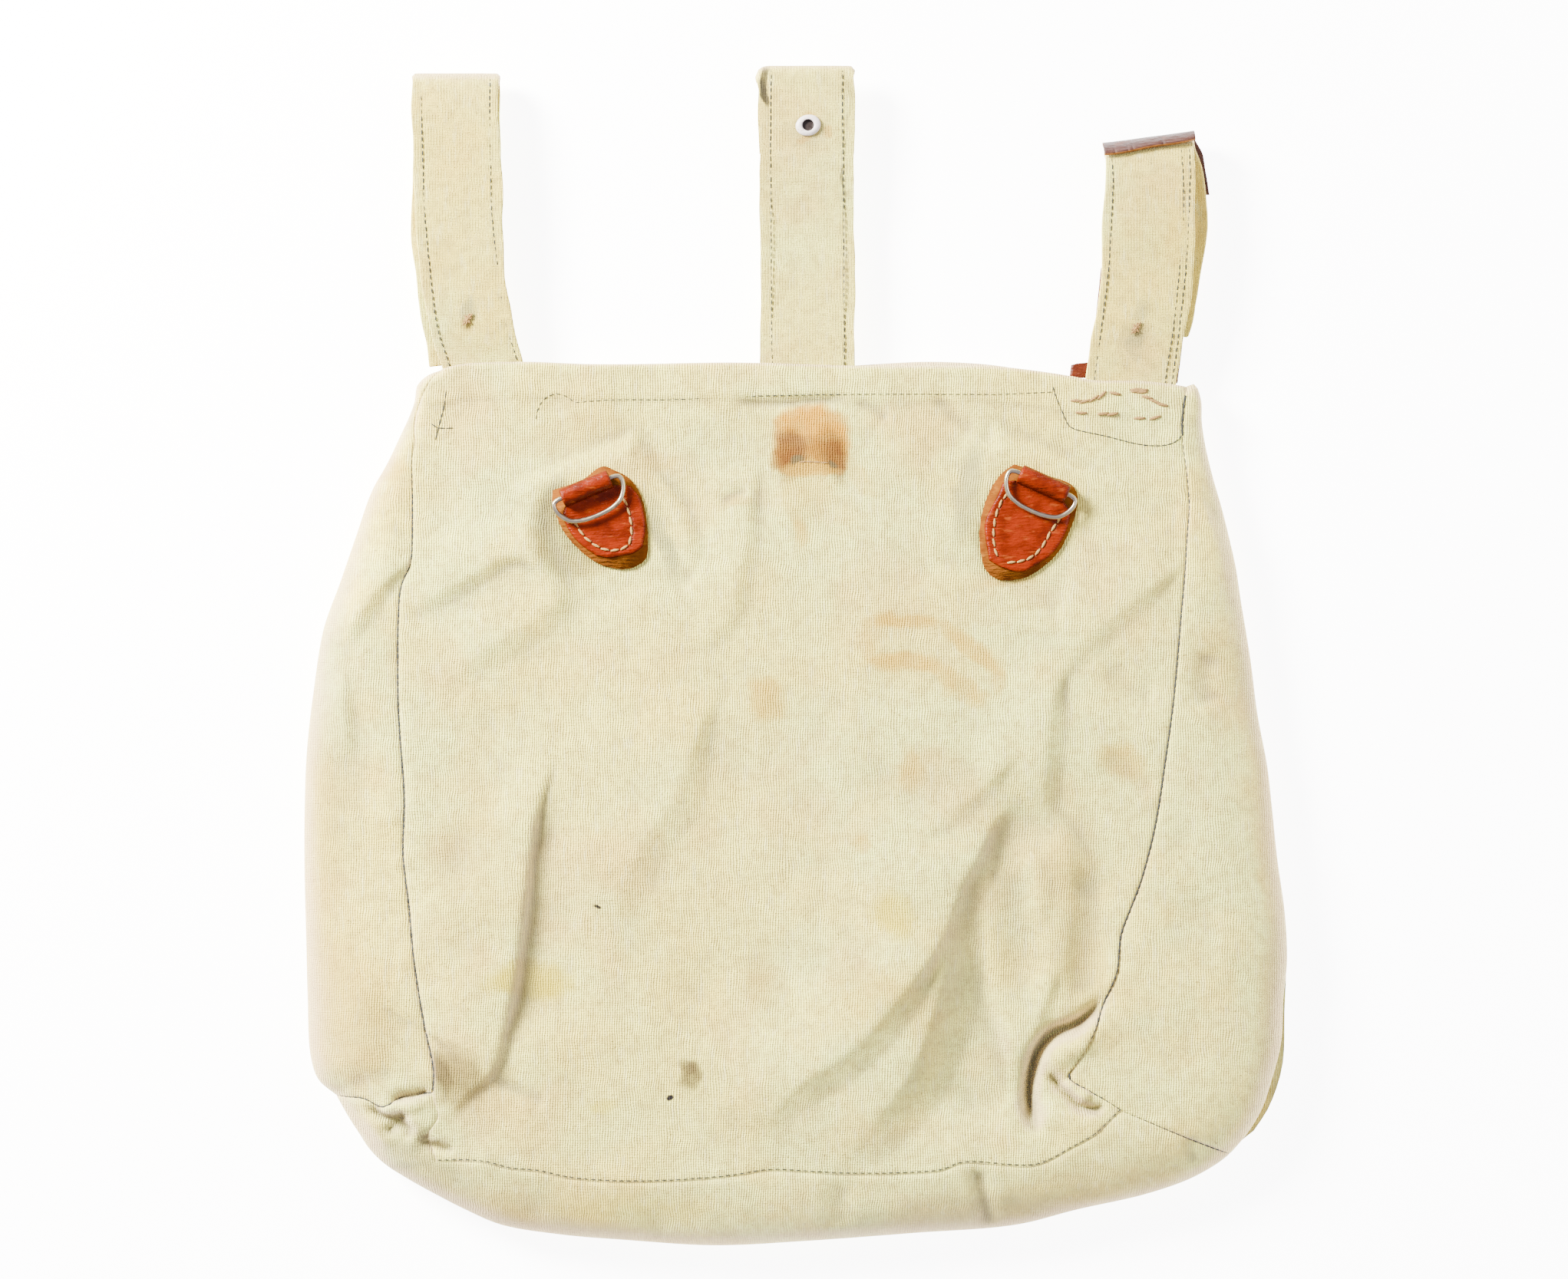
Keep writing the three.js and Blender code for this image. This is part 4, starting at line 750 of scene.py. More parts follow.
def crumpled(flat):
    """The cloth as it is drawn together at the left corner, where three pieces meet."""
    x, down = MIDDLE[0] + flat[:, 0] / PIXEL, MIDDLE[1] - flat[:, 1] / PIXEL
    below, beside = (
        np.exp(-(((x - middle[0]) / reach[0]) ** 2) - ((down - middle[1]) / reach[1]) ** 2)
        for middle, reach in (((508, 1430), (36, 26)), ((566, 1466), (22, 30)))
    )
    shift_y = below * (-3.6 - 1.3 * np.sin((x - 430) / 8.5))
    seam_length = CORNER_LEFT[1] - SEAM_END_LEFT[1]
    shift_x = beside * 3.4 * np.sin((down - SEAM_END_LEFT[1]) / seam_length * math.tau)
    return flat + np.column_stack([shift_x, shift_y]) * MM


def back_place(across, down):
    side = seam_left.then(corner_seam)
    flat = crumpled(spanned(top_edge, bottom_seam, side, seam_right, across, down))
    softer = np.interp(across * 270, (0.38, 0.4, 0.8, 1.5, 1.6), (0, 0.5, 0.28, 0.07, 0)) * MM
    return with_height(flat, back_height(flat) + softer * smoothstep(down, 0.9, 0.92))


back_canvas = canvas("back_canvas", BACK_STAINS)
back = shaped(
    "back_cloth",
    spread(200, 0.27, SEAM_EDGE, SEAM_EDGE),
    spread(205, 0.28, HEM_EDGE, FLAT_EDGE),
    back_place,
    back_canvas,
)
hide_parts("back_panel")

# The gussets: two strips of the same canvas that make the bag's sides. Each is sewn to the back
# along its seam, turns under at the side fold, and is sewn to the front underneath.
UNDER_ROUND = 14 * MM
FRONT_HEIGHT = 2.1 * MM
front_seam_left = Line(
    (601, 505), (576, 620), (546, 760), (521, 901), (506, 1050), (501, 1201), (496, 1320),
    (481, 1437),
)  # fmt: skip
front_seam_right = Line(
    (1516, 521), (1536, 620), (1561, 760), (1576, 901), (1591, 1050), (1601, 1201), (1603, 1320),
    (1576, 1440),
)  # fmt: skip


def under_height(places):
    reach = UNDER_ROUND * standing(places, 2)
    low = EDGE_HEIGHT - FRONT_HEIGHT
    return EDGE_HEIGHT - low * round_off(edge_distance(places), reach)


def turned(seam, fold, inner, along, over):
    """From a seam over to the fold while over goes from 0 to 1, and in underneath it up to 2."""
    out = np.minimum(over, 1)[:, None]
    back_in = np.clip(over - 1, 0, 1)[:, None]
    flat = crumpled(seam.at(along) * (1 - out) + fold.at(along) * out)
    flat = flat * (1 - back_in) + inner.at(along) * back_in
    height = np.where(over <= 1, back_height(flat), under_height(flat))
    return with_height(flat, height)


def over_and_under(top_cells, width, start, under_cells):
    top = spread(top_cells, width, start, (), 1.9)
    under = np.linspace(0, 1, under_cells + 1)[1:] ** 1.7 + 1
    return np.hstack([top, np.stack([under, under * 0])])


GUSSET_STAINS = (
    ("tea", 500, 612, 26, 12, 30, 0.63, 0.8),
    ("tea", 1612, 560, 20, 30, 0, 0.42, 0.8),
    ("pink", 455, 1330, 40, 90, 10, 0.56, 0.9),
    ("grey", 440, 960, 30, 120, 5, 0.28, 0.9),
    ("pink", 412, 1180, 26, 240, 0, 0.5, 0.9),
    ("tea", 1648, 1000, 20, 180, 5, 0.3, 0.9),
    ("pink", 1662, 1350, 22, 130, 0, 0.4, 0.9),
    ("pink", 1590, 880, 24, 60, 0, 0.45, 0.9),
    ("mould", 524, 1466, 6, 14, 0, 0.84, 0.6),
)
GUSSETS = {
    "gusset_left": (seam_left, edge_left, front_seam_left, (0.90, 0.79, 0.15)),
    "gusset_right": (seam_right, edge_right, front_seam_right, (0.98, 0.92, 0.20)),
}
for node, (seam, edge, inner, colour) in GUSSETS.items():
    piece = shaped(
        f"{node}_cloth",
        over_and_under(40, 0.03, SEAM_EDGE, 22),
        spread(150, 0.28, HEM_EDGE, SEAM_EDGE),
        lambda over, along: turned(seam, edge, inner, along, over),
        canvas(f"{node}_canvas", GUSSET_STAINS, 0.7, colour),
    )
    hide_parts(node)

# The front panel: it starts at the bottom seam on the back, turns under at the bottom fold and
# runs up to the mouth of the bag, under everything but the flap.
front_turn = Line(
    (481, 1437), (499, 1481), (559, 1525), (651, 1561), (815, 1585), (1056, 1585), (1327, 1560),
    (1481, 1521), (1561, 1480), (1576, 1440),
)  # fmt: skip
mouth = Line((601, 505), (1516, 521))
front_over = np.hstack(
    [
        over_and_under(26, 0.027, FLAT_EDGE, 12),
        np.stack([np.linspace(2, 3, 60)[1:], np.zeros(59)]),
    ]
)


def front_place(along, over):
    points = turned(corner_seam.then(bottom_seam), edge_bottom, front_turn, along, over)
    inside = over > 2
    flat = spanned(
        front_turn,
        mouth,
        front_seam_left.reverse(),
        front_seam_right.reverse(),
        along[inside],
        over[inside] - 2,
    )
    points[inside] = with_height(flat, under_height(flat))
    return points


FRONT_STAINS = (
    ("grey", 1240, 1585, 160, 26, 4, 0.4, 0.7),
    ("grey", 560, 1530, 80, 30, -35, 0.45, 0.9),
    ("pink", 700, 1590, 160, 24, -12, 0.4, 0.9),
    ("pink", 1390, 1560, 120, 26, 14, 0.35, 0.9),
    ("ochre", 830, 1580, 90, 20, 0, 0.25, 0.7),
)
front = shaped(
    "front_cloth",
    spread(190, 0.32, SEAM_EDGE, SEAM_EDGE),
    front_over,
    front_place,
    canvas("front_canvas", FRONT_STAINS, 0.6, (0.72, 0.69, 0.17)),
)
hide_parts("front_panel")

# The flap: sewn in under the hem, it folds down over the mouth and lies under the whole bag. Its
# edge shows beyond the right gusset.
FLAP_HEIGHT = 0.6 * MM
FLAP_TUCK = 9 * MM
TUCK_HEIGHT = 9.34 * MM
flap_left = Line(
    (609, 501), (555, 620), (471, 800), (431, 950), (416, 1101), (413, 1250), (422, 1353),
    (456, 1441),
)  # fmt: skip
flap_right = Line(
    (1500, 519), (1551, 620), (1601, 801), (1641, 996), (1668, 1123), (1683, 1220),
    (1684, 1262), (1682, 1320), (1679, 1396), (1661, 1451), (1641, 1482),
)  # fmt: skip
flap_bottom = Line(
    (456, 1441), (521, 1501), (621, 1546), (801, 1565), (1001, 1571), (1201, 1561),
    (1401, 1546), (1541, 1525), (1603, 1509), (1641, 1482),
)  # fmt: skip


def flap_place(across, down):
    bend = (TUCK_HEIGHT - FLAP_HEIGHT) / 2
    start, end = flap_left.points[0][0], flap_right.points[0][0]
    x = start + (end - start) * across
    peek = 2.6 * MM * np.exp(-(((across - 0.68) / 0.13) ** 2))
    fold = np.interp(x, *top_edge.points.T) + peek - bend - FLAP_HEIGHT
    angle = math.pi * (0.5 - np.clip(down, 0, 1))
    tucked = np.clip(-down, 0, 1)
    y = fold + bend * np.cos(angle) - FLAP_TUCK * tucked
    z = FLAP_HEIGHT + bend * (1 + np.sin(angle))
    points = np.column_stack([x, y, z])
    lying = down > 1
    share = down[lying] - 1
    fold_line = Line(points=np.column_stack([np.sort(x), fold[np.argsort(x)]])[::7])
    flat = spanned(fold_line, flap_bottom, flap_left, flap_right, across[lying], share)
    blend = (np.clip(1 - share * 4, 0, 1) ** 2)[:, None]
    straight = np.column_stack([x[lying], fold[lying]])
    flat = flat * (1 - blend) + (straight - [0, 0.27] * share[:, None]) * blend
    points[lying] = with_height(flat, FLAP_HEIGHT + 0 * share)
    return points


flap_rows = np.concatenate([[-1, -0.5], np.linspace(0, 1, 17), np.linspace(1, 2, 61)[1:]])
flap = shaped(
    "flap_cloth",
    spread(120, 0.3),
    np.stack([flap_rows, flap_rows * 0]),
    flap_place,
    # the flap's canvas is half as bright as the rest: painted shade on its edge under the bag
    canvas("flap_canvas", warmth=0.5, colour=(0.46, 0.42, 0.13)),
)
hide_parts("flap")

# The belt loops and the centre strap: canvas folded double and stitched along both edges. Each
# run gives, in order, a place, a height in mm and the turn of the strap's width in degrees.
STRAP = 2.1 * MM
LEFT_WIDTH, CENTRE_WIDTH, RIGHT_WIDTH = 31 * MM, 34.5 * MM, 33.4 * MM
LEFT_RUN = (
    (629, 506, 11.7, 5), (628, 476, 11.7, 6), (613, 425, 13.6, 8), (604, 360, 15, 6),
    (597, 285, 16, 2), (593, 200, 15.4, 0), (592.5, 125, 14.6, 0), (592.5, 101, 12.6, 0),
    (592.5, 94, 8.8, 0), (592.5, 101, 4.4, 0), (592, 130, 1.8, 0), (590, 200, 1.5, 1),
    (588, 290, 1.5, 3), (592, 345, 3.4, 5), (599, 400, 3.95, 8), (608, 440, 3.95, 8),
    (612, 468, 3.95, 7),
)  # fmt: skip
RIGHT_RUN = (
    (1477, 524, 11.7, -4), (1478, 494, 11.7, -4), (1487, 425, 13.8, -5), (1494, 360, 15, -4),
    (1499, 280, 16, -1), (1500, 222, 15.4, 5), (1499, 194, 13.2, 7.5), (1499, 188, 9.4, 8),
    (1502, 194, 5.4, 5), (1511, 218, 3.6, 2), (1519, 262, 3.6, -1), (1520, 300, 3.6, -4),
    (1514, 335, 3.8, -9), (1506, 372, 5.0, -12), (1500, 400, 5.6, -11), (1492, 428, 5.6, -8),
)  # fmt: skip
CENTRE_RUN = (
    (1053, 507, 11.7, 0), (1053, 476, 11.7, 0), (1052, 380, 10.5, 0), (1052, 290, 10.3, 0),
    (1051, 215, 12.2, 0), (1051, 180, 12.6, 0), (1051, 110, 12.7, 0), (1051, 91, 12.6, 0),
    (1051, 84.5, 11.1, 0), (1051, 91, 9.6, 0), (1051, 130, 9.5, 0), (1051, 196, 9.5, 0),
)  # fmt: skip
TURN_WEIGHT = 0.1  # so that the turn hardly counts in how the points of a run are spaced
STRAP_RIB = 0.55 * MM
STITCH_INSET = 3.1 * MM
STITCH_DIP = 0.22 * MM
GATHER_SPREAD, STITCH_SPREAD = 2.5 * MM, 0.9 * MM
WAVY_EDGE = ((31 * MM, 1.2), (11 * MM, 0.5))


def strap_points(run, width, shares, along):
    """Points over a strap's middle: along its run, and across it from -0.5 to 0.5."""
    knots = [(*spot(x, y), z * MM, math.radians(turn) * TURN_WEIGHT) for x, y, z, turn in run]
    line = smooth_run(knots, 12)
    steps = np.linalg.norm(np.diff(line[:, :3], axis=0), axis=1)
    lengths = np.concatenate([[0], np.cumsum(steps)])
    wanted = along * lengths[-1]
    x, y, z, turn = (np.interp(wanted, lengths, axis) for axis in line.T)
    turn = turn / TURN_WEIGHT
    shift = (shares - 0.5) * width
    x = x + np.cos(turn) * shift
    y = y + np.sin(turn) * shift
    return np.column_stack([x, y, z]), wanted, shift


def strap_place(run, width, seed, corners):
    def place(shares, along):
        points, wanted, shift = strap_points(run, width, shares, along)
        edge = width / 2 - np.abs(shift)
        corner = np.where(shift < 0, *corners) * MM
        below = (points[:, 1].max() - points[:, 1]) / (2 * corner)
        rounded = 1 - np.sqrt(1 - np.clip(1 - edge / corner, 0, 1) ** 2)
        points[:, 1] -= rounded * corner * np.exp(-(below**2))
        points[:, 2] += ripple(np.stack([wanted, shift], 1), 21 * MM, seed) * 0.6 * MM
        gathers = ripple(np.stack([wanted, shift * 0.5], 1), 3.4 * MM, seed + 9)
        gathers = gathers * np.exp(-(((edge - STITCH_INSET) / GATHER_SPREAD) ** 2))
        sewn = np.exp(-(((edge - STITCH_INSET) / STITCH_SPREAD) ** 2))
        points[:, 2] += (gathers - sewn) * STITCH_DIP
        for size, reach in WAVY_EDGE:
            waver = ripple(np.stack([wanted, np.sign(shift) * size / 2], 1), size, seed + 4)
            points[:, 0] += waver * reach * np.abs(shift) / width * 2 * MM
        return points

    return place


LOOP_STAINS = (
    ("tea", 612, 440, 30, 24, 0, 0.25, 0.7),
    ("grey", 612, 402, 9, 12, 0, 0.6, 0.9),
    ("dark_rust", 607, 418, 6, 7, 0, 0.5, 0.9),
    ("grey", 1487, 402, 9, 12, 10, 0.45, 0.9),
    ("grey", 1483, 440, 7, 20, 5, 0.4, 0.9),
    ("tea", 1530, 300, 8, 60, 0, 0.3, 0.9),
    ("tea", 1500, 300, 24, 60, 0, 0.22, 0.7),
    ("tea", 590, 200, 34, 60, 0, 0.2, 0.7),
    ("grey", 1481, 430, 16, 18, 0, 0.3, 0.7),
)
CENTRE_STAINS = (
    ("dark", 1000, 108, 5.5, 22, -6, 0.9, 0.8, "square"),
    ("rust", 1058, 144, 6, 4, 0, 0.6, 0.8),
    ("rust", 1048, 178, 8, 4, 20, 0.6, 0.8),
    ("rust", 1077, 170, 5, 7, 0, 0.5, 0.8),
    ("dark", 1106, 130, 3.5, 30, -3, 0.3, 0.6, "square"),
    ("dark", 1099, 232, 2.5, 16, 0, 0.6, 0.6, "square"),
    ("grey", 1054, 166, 22, 20, 0, 0.35, 0.7),
)
loop_canvas = canvas("loop_canvas", LOOP_STAINS, 0.6, (0.90, 0.75, 0.125), STRAP_RIB)
centre_canvas = canvas("centre_canvas", CENTRE_STAINS, 0.45, (0.90, 0.82, 0.18), STRAP_RIB)
STRAPS = (
    ("belt_loop_left", LEFT_RUN, LEFT_WIDTH, 250, loop_canvas, 2.0, (1.0, 0.8), (0.031, 0.262)),
    ("belt_loop_right", RIGHT_RUN, RIGHT_WIDTH, 230, loop_canvas, 5.0, (0.5, 0.5), (0.0334, 0.18)),
    ("centre_strap", CENTRE_RUN, CENTRE_WIDTH, 200, centre_canvas, 8.0, (3.6, 1.4), (0.0345, 0.16)),
)
for node, run, width, cells, finish, seed, corners, flat_size in STRAPS:
    strap = shaped(
        f"{node}_cloth",
        spread(34, width),
        spread(cells, 0.2),
        strap_place(run, width, seed, corners),
        finish,
        STRAP,
    )
    rounding = strap.modifiers.new("folded_edges", "BEVEL")
    rounding.width = 0.75 * MM
    rounding.segments = 3
    rounding.limit_method = "ANGLE"
    rounding.angle_limit = math.radians(60)
    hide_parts(node)

# The right loop's leather: a cap folded over the loop's top, worn mauve-brown with a tan cut edge,
# and the tip of its lower strand, whose corner peeks out beside the loop's foot.
LEATHER = 1.2 * MM
CAP_RUN = (
    (1499.6, 187, 16.6, 8.4), (1499.4, 183, 15.9, 8.2), (1499, 177.5, 13.4, 8),
    (1499, 176, 9.4, 7), (1502, 180, 5.2, 5), (1508, 192, 2.6, 3), (1513, 216, 1.2, 1),
    (1518, 246, 1.0, -1),
)  # fmt: skip
TIP_RUN = ((1497, 352, 3.3, -8), (1492, 400, 3.3, -7), (1486, 455, 3.3, -5), (1481, 492, 3.3, -4))
TIP_EAR = (470, 7.0 * MM)  # from that far down, how much further left the tip reaches
CAP_COLOURS = ((0.05, 0.018, 0.012), (0.028, 0.009, 0.006), (0.12, 0.066, 0.055))
TIP_COLOURS = ((0.09, 0.012, 0.002), (0.045, 0.005, 0.001), (0.14, 0.03, 0.005))
CUT_COLOURS = ((0.24, 0.09, 0.014), (0.045, 0.012, 0.003), (0.17, 0.07, 0.016))
CAP_CREASES = (-12.9, -8.2, -6.3, 4.9)  # in mm across the cap


def leather(name, colours, roughness, gloss):
    """Leather of a colour with darker patches, paler scuffs and painted shade on its steep sides.
    """
    colour, dark, scuff = colours
    paint = Paint(name)
    patches = paint.grain(7 * MM, detail=4).between(0.4, 0.68)
    surface = paint.mix(patches * 0.75, colour, dark)
    steep = paint.kept("steep")
    # steep leather, such as the sides of the roll, is painted darker: painted shade
    surface = paint.mix(steep * 0.6, surface, dark)
    scuffs = paint.grain(5 * MM, paint.place((1, 2.5, 1), 35), detail=6).between(0.56, 0.72)
    surface = paint.mix(scuffs * 0.5, surface, scuff)
    grain = paint.grain(0.7 * MM, detail=4)
    creases = paint.grain(3.5 * MM, paint.place((1, 4, 1), -30), detail=3)
    bumps = paint.bump(creases, 0.5 * MM)
    return paint.finish(
        {
            "Base Color": surface,
            "Roughness": scuffs * 0.25 + roughness,
            "Specular IOR Level": gloss,
            "Normal": paint.bump(grain, 0.1 * MM, bumps),
        }
    )


def cut_edge(piece, finish):
    """Gives the cut edges of a sheet of leather their own finish."""
    piece.data.materials.append(finish)
    piece.modifiers["thickness"].material_offset_rim = 1


cap_leather = leather("cap_leather", CAP_COLOURS, 0.5, 0.2)
tip_leather = leather("tip_leather", TIP_COLOURS, 0.45, 0.2)
cut_leather = leather("cut_leather", CUT_COLOURS, 0.8, 0.2)


def cap_place(shares, along):
    points, wanted, shift = strap_points(CAP_RUN, RIGHT_WIDTH + 0.3 * MM, shares, along)
    lip = np.exp(-(along / 0.16) ** 2)
    points[:, 0] += smoothstep(along, 0.4, 0.6) * np.maximum(shares - 0.5, 0) * 2.4 * MM
    points[:, 1] -= lip * (1.2 - 0.9 * shares**3 + 0.25 * np.sin(shares * 9)) * MM
    points[:, 2] += ripple(np.stack([shift * 1.3, wanted], 1), 9 * MM, 2.2) * 0.4 * MM
    for crease in CAP_CREASES:
        points[:, 2] -= 0.35 * MM * np.exp(-(((shift / MM - crease) / 0.45) ** 2))
    return points


cap = shaped(
    "loop_cap_leather",
    spread(70, RIGHT_WIDTH),
    spread(50, 0.04),
    cap_place,
    cap_leather,
    LEATHER,
)
cut_edge(cap, cut_leather)
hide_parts("loop_cap_right")


def tip_place(shares, along):
    points = strap_points(TIP_RUN, RIGHT_WIDTH - 0.6 * MM, shares, along)[0]
    down = MIDDLE[1] - points[:, 1] / PIXEL
    ear = smoothstep(down, TIP_EAR[0] - 2, TIP_EAR[0] + 1) * TIP_EAR[1]
    points[:, 0] -= ear * np.clip(1 - 2 * shares, 0, 1)
    return points


tip = shaped(
    "loop_tip_leather",
    spread(40, 0.03),
    spread(80, 0.04),
    tip_place,
    tip_leather,
    LEATHER,
)
cut_edge(tip, cut_leather)
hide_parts("loop_tip_right")

# The ring tabs: a wide shield of tan leather, suede side out, and on it a strip of glossy
# red-brown leather that rolls over the bar of the ring. Outlines are in mm from the bar.
BASE_LEATHER = 1.0 * MM
BAR_HEIGHT = 4.5 * MM
ROLL, ROLL_HALF = 2.85, 9.0
SUEDE_COLOURS = ((0.15, 0.046, 0.004), (0.075, 0.018, 0.002), (0.24, 0.095, 0.013))
TAB_COLOURS = ((0.135, 0.0105, 0.0002), (0.05, 0.0035, 0.0002), (0.23, 0.04, 0.0006))
LEATHER_EDGE = ((0.0, 0.45), (0.2, 0.16), (0.6, 0.03))
BASE_ROUNDING = ((0.25, 0.2), (0.7, 0.1), (2.5, 0))  # steps in from the edge, each with its rise
TAB_SHAPES = {
    "left": {
        "base": (
            (-11.4, 4.2), (-13.4, 0.5), (-14.0, -5.5), (-13.6, -12), (-10.6, -20.6), (-6.4, -27.1),
            (-0.6, -31.6), (4.4, -33.2), (10, -32.0), (13.6, -25.6), (16.6, -16), (17.3, -8.8),
            (15.8, -2.6), (12.2, 2.0), (8.6, 5.2), (0, 3.6),
        ),
        "left": ((-11.2, -6), (-11.5, -9), (-10.9, -13.5), (-9.6, -17.3), (-5.8, -23.6)),
        "right": ((14.9, -6), (16.2, -10.5), (15.6, -15.6), (13.9, -21.4), (10.4, -27.2)),
        "bottom": ((-5.8, -23.6), (-1.6, -26.2), (2.8, -27.2), (6.6, -28.0), (10.4, -27.2)),
        "stitches": (
            ((11.2, -8.2), (11.2, -12.6), (10.6, -16.2), (9.8, -19.3), (8.4, -22.5), (5.8, -25.3),
             (2.6, -25.4), (-1.5, -23.9), (-3.5, -22.3), (-5.9, -19.1), (-7.6, -15.6),
             (-8.3, -12.0), (-8.8, -8.6)),
        ),
    },
    "right": {
        "base": (
            (-12.6, 2.4), (-15.2, -2.2), (-16.6, -8), (-16.6, -14), (-15.6, -20.6), (-12.6, -28.6),
            (-7.0, -36.6), (-2.6, -38.4), (2.4, -37.4), (8.2, -33.6), (12.4, -27.4), (15.3, -20.2),
            (15.8, -12.3), (15.4, -6.1), (13.4, 1.0), (9.6, 4.0), (0, 3.6),
        ),
        "left": ((-13.2, -6), (-13.0, -10), (-13.3, -15.5), (-13.2, -21.4), (-6.3, -33.0)),
        "right": ((13.2, -6), (14.2, -11), (14.1, -16.5), (12.6, -22.4), (6.7, -31.3)),
        "bottom": ((-6.3, -33.0), (-3.2, -33.4), (0.6, -33.3), (3.8, -32.8), (6.7, -31.3)),
        "stitches": (
            ((-10.2, -7.6), (-11.3, -11.3), (-11.2, -17.1), (-9.9, -22.1), (-7.8, -26.9),
             (-4.4, -31.2)),
            ((-0.6, -31.6), (3.6, -29.4), (7.0, -26.2), (8.6, -22.6), (9.3, -18.9), (9.5, -14.5),
             (10.4, -10.7), (10.7, -7.6)),
        ),
    },
}  # fmt: skip
roll_angles = np.radians(np.linspace(-80, 184, 34))
ROLL_PATH = np.vstack(
    [
        ROLL * np.stack([np.cos(roll_angles), np.sin(roll_angles)], 1),
        [(-2.78, -1.1), (-2.9, -1.9), (-3.4, -2.5), (-4.4, -2.78), (-6.0, -2.85)],
    ]
)
tab_leather = leather("tab_leather", TAB_COLOURS, 0.3, 0.09)
suede = leather("suede", SUEDE_COLOURS, 0.9, 0.06)


def on_tab(side, flat, height):
    """Places on a tab, in millimetres from the middle of its bar, as places on the bag."""
    middle = hinges[f"ring_{side}"]["pos_m"]
    places = np.array(flat) * MM @ tab_directions(side) + middle[:2]
    return with_height(places, middle[2] + np.asarray(height) * MM)


for side, shape in TAB_SHAPES.items():
    mesh = bmesh.new()
    bmesh.ops.create_circle(mesh, cap_ends=True, segments=150, radius=1)
    rim = Line(points=smooth_run((*shape["base"], shape["base"][0])))
    rim = rim.at(np.linspace(0, 1, 151)[:-1])
    rim = rim * (1 + 0.008 * ripple(rim, 0.9, 4.4))[:, None]
    base_top = (BASE_LEATHER - BAR_HEIGHT) / MM
    for vertex, point in zip(mesh.verts, on_tab(side, rim, base_top - 0.3 + 0 * rim[:, 0])):
        vertex.co = point
    if mesh.faces[:][0].normal.z < 0:
        bmesh.ops.reverse_faces(mesh, faces=mesh.faces[:])
    for step, lift in BASE_ROUNDING:
        top_face = mesh.faces[-1:]
        bmesh.ops.inset_region(mesh, faces=top_face, thickness=step * MM, depth=lift * MM)
    base = cloth(f"tab_base_{side}", mesh, suede, BASE_LEATHER * 0.7)
    base.modifiers["thickness"].offset = -1

    left, right, bottom = (
        Line(points=smooth_run(shape[name])) for name in ("left", "right", "bottom")
    )
    top = Line(points=np.array([left.points[0], right.points[0]]))
    roll_line = Line(points=ROLL_PATH)

    def cover_place(across, down):
        rolled, height = roll_line.at(np.clip(down, 0, 1)).T
        spreading = smoothstep(-rolled, 2.6, 6.0)[:, None]
        sides = np.array([left.points[0][0], right.points[0][0]])
        ends = np.array([-ROLL_HALF, ROLL_HALF]) * (1 - spreading) + sides * spreading
        flat = np.column_stack([ends[:, 0] * (1 - across) + ends[:, 1] * across, rolled])
        lying = down > 1
        flat[lying] = spanned(top, bottom, left, right, across[lying], down[lying] - 1)
        height = height + ripple(flat * (0.4, 1), 3.5, 6.1) * 0.14
        for places in shape["stitches"]:
            distance = Line(points=smooth_run(places)).nearest(flat)[0]
            height -= 0.28 * np.exp(-((distance / 0.8) ** 2)) * lying
        return on_tab(side, flat, height)

    rolled_rows = np.stack([np.linspace(0, 1, 46), np.zeros(46)])
    lying_rows = spread(56, 0.025, (), LEATHER_EDGE)[:, 1:] + [[1], [0]]
    cover = shaped(
        f"tab_cover_{side}",
        spread(56, 0.025, LEATHER_EDGE, LEATHER_EDGE),
        np.hstack([rolled_rows, lying_rows]),
        cover_place,
        tab_leather,
        LEATHER,
    )
    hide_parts(f"ring_tab_{side}")

# The D-rings: steel wire bent into a D, its bar held in the tab's roll. The wire is tarnished
# and rusted in patches.
WIRE = 0.86 * MM
RING_HALF, RING_DEPTH, RING_CORNER = 13.3, 10.8, 2.2
RING_PATH = (
    (0, 0), (-8, 0), (-RING_HALF + RING_CORNER, 0), (-RING_HALF + 0.5, -0.7),
    (-RING_HALF, -RING_CORNER), (-12.7, -5.0), (-9.9, -8.7), (-5.2, -10.4), (0, -RING_DEPTH),
)  # fmt: skip
paint = Paint("ring_steel")
tarnish = paint.grain(4 * MM, detail=3).between(0.5, 0.75)
steel_colour = paint.mix(tarnish * 0.85, (0.36, 0.31, 0.22), (0.10, 0.06, 0.03))
ring_steel = paint.finish(
    {
        "Base Color": steel_colour,
        "Metallic": 1.0 - tarnish * 0.3,
        "Roughness": tarnish * 0.25 + 0.3,
        "Normal": paint.bump(paint.grain(1.2 * MM), 0.012 * MM),
    }
)
for side in TAB_SHAPES:
    half = smooth_run(RING_PATH, 8)
    outline = np.vstack([half, (half * (-1, 1))[::-1][1:-1]])
    wire = bpy.data.curves.new(f"ring_wire_{side}", "CURVE")
    wire.dimensions = "3D"
    wire.bevel_depth = WIRE
    wire.bevel_resolution = 5
    path = wire.splines.new("POLY")
    path.points.add(len(outline) - 1)
    for point, place in zip(path.points, on_tab(side, outline, 0 * outline[:, 0])):
        point.co = (*place, 1)
    path.use_cyclic_u = True
    wire.materials.append(ring_steel)
    ring = bpy.data.objects.new(f"ring_wire_{side}", wire)
    bpy.context.scene.collection.objects.link(ring)
    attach(ring, f"ring_{side}")
    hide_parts(f"ring_{side}")
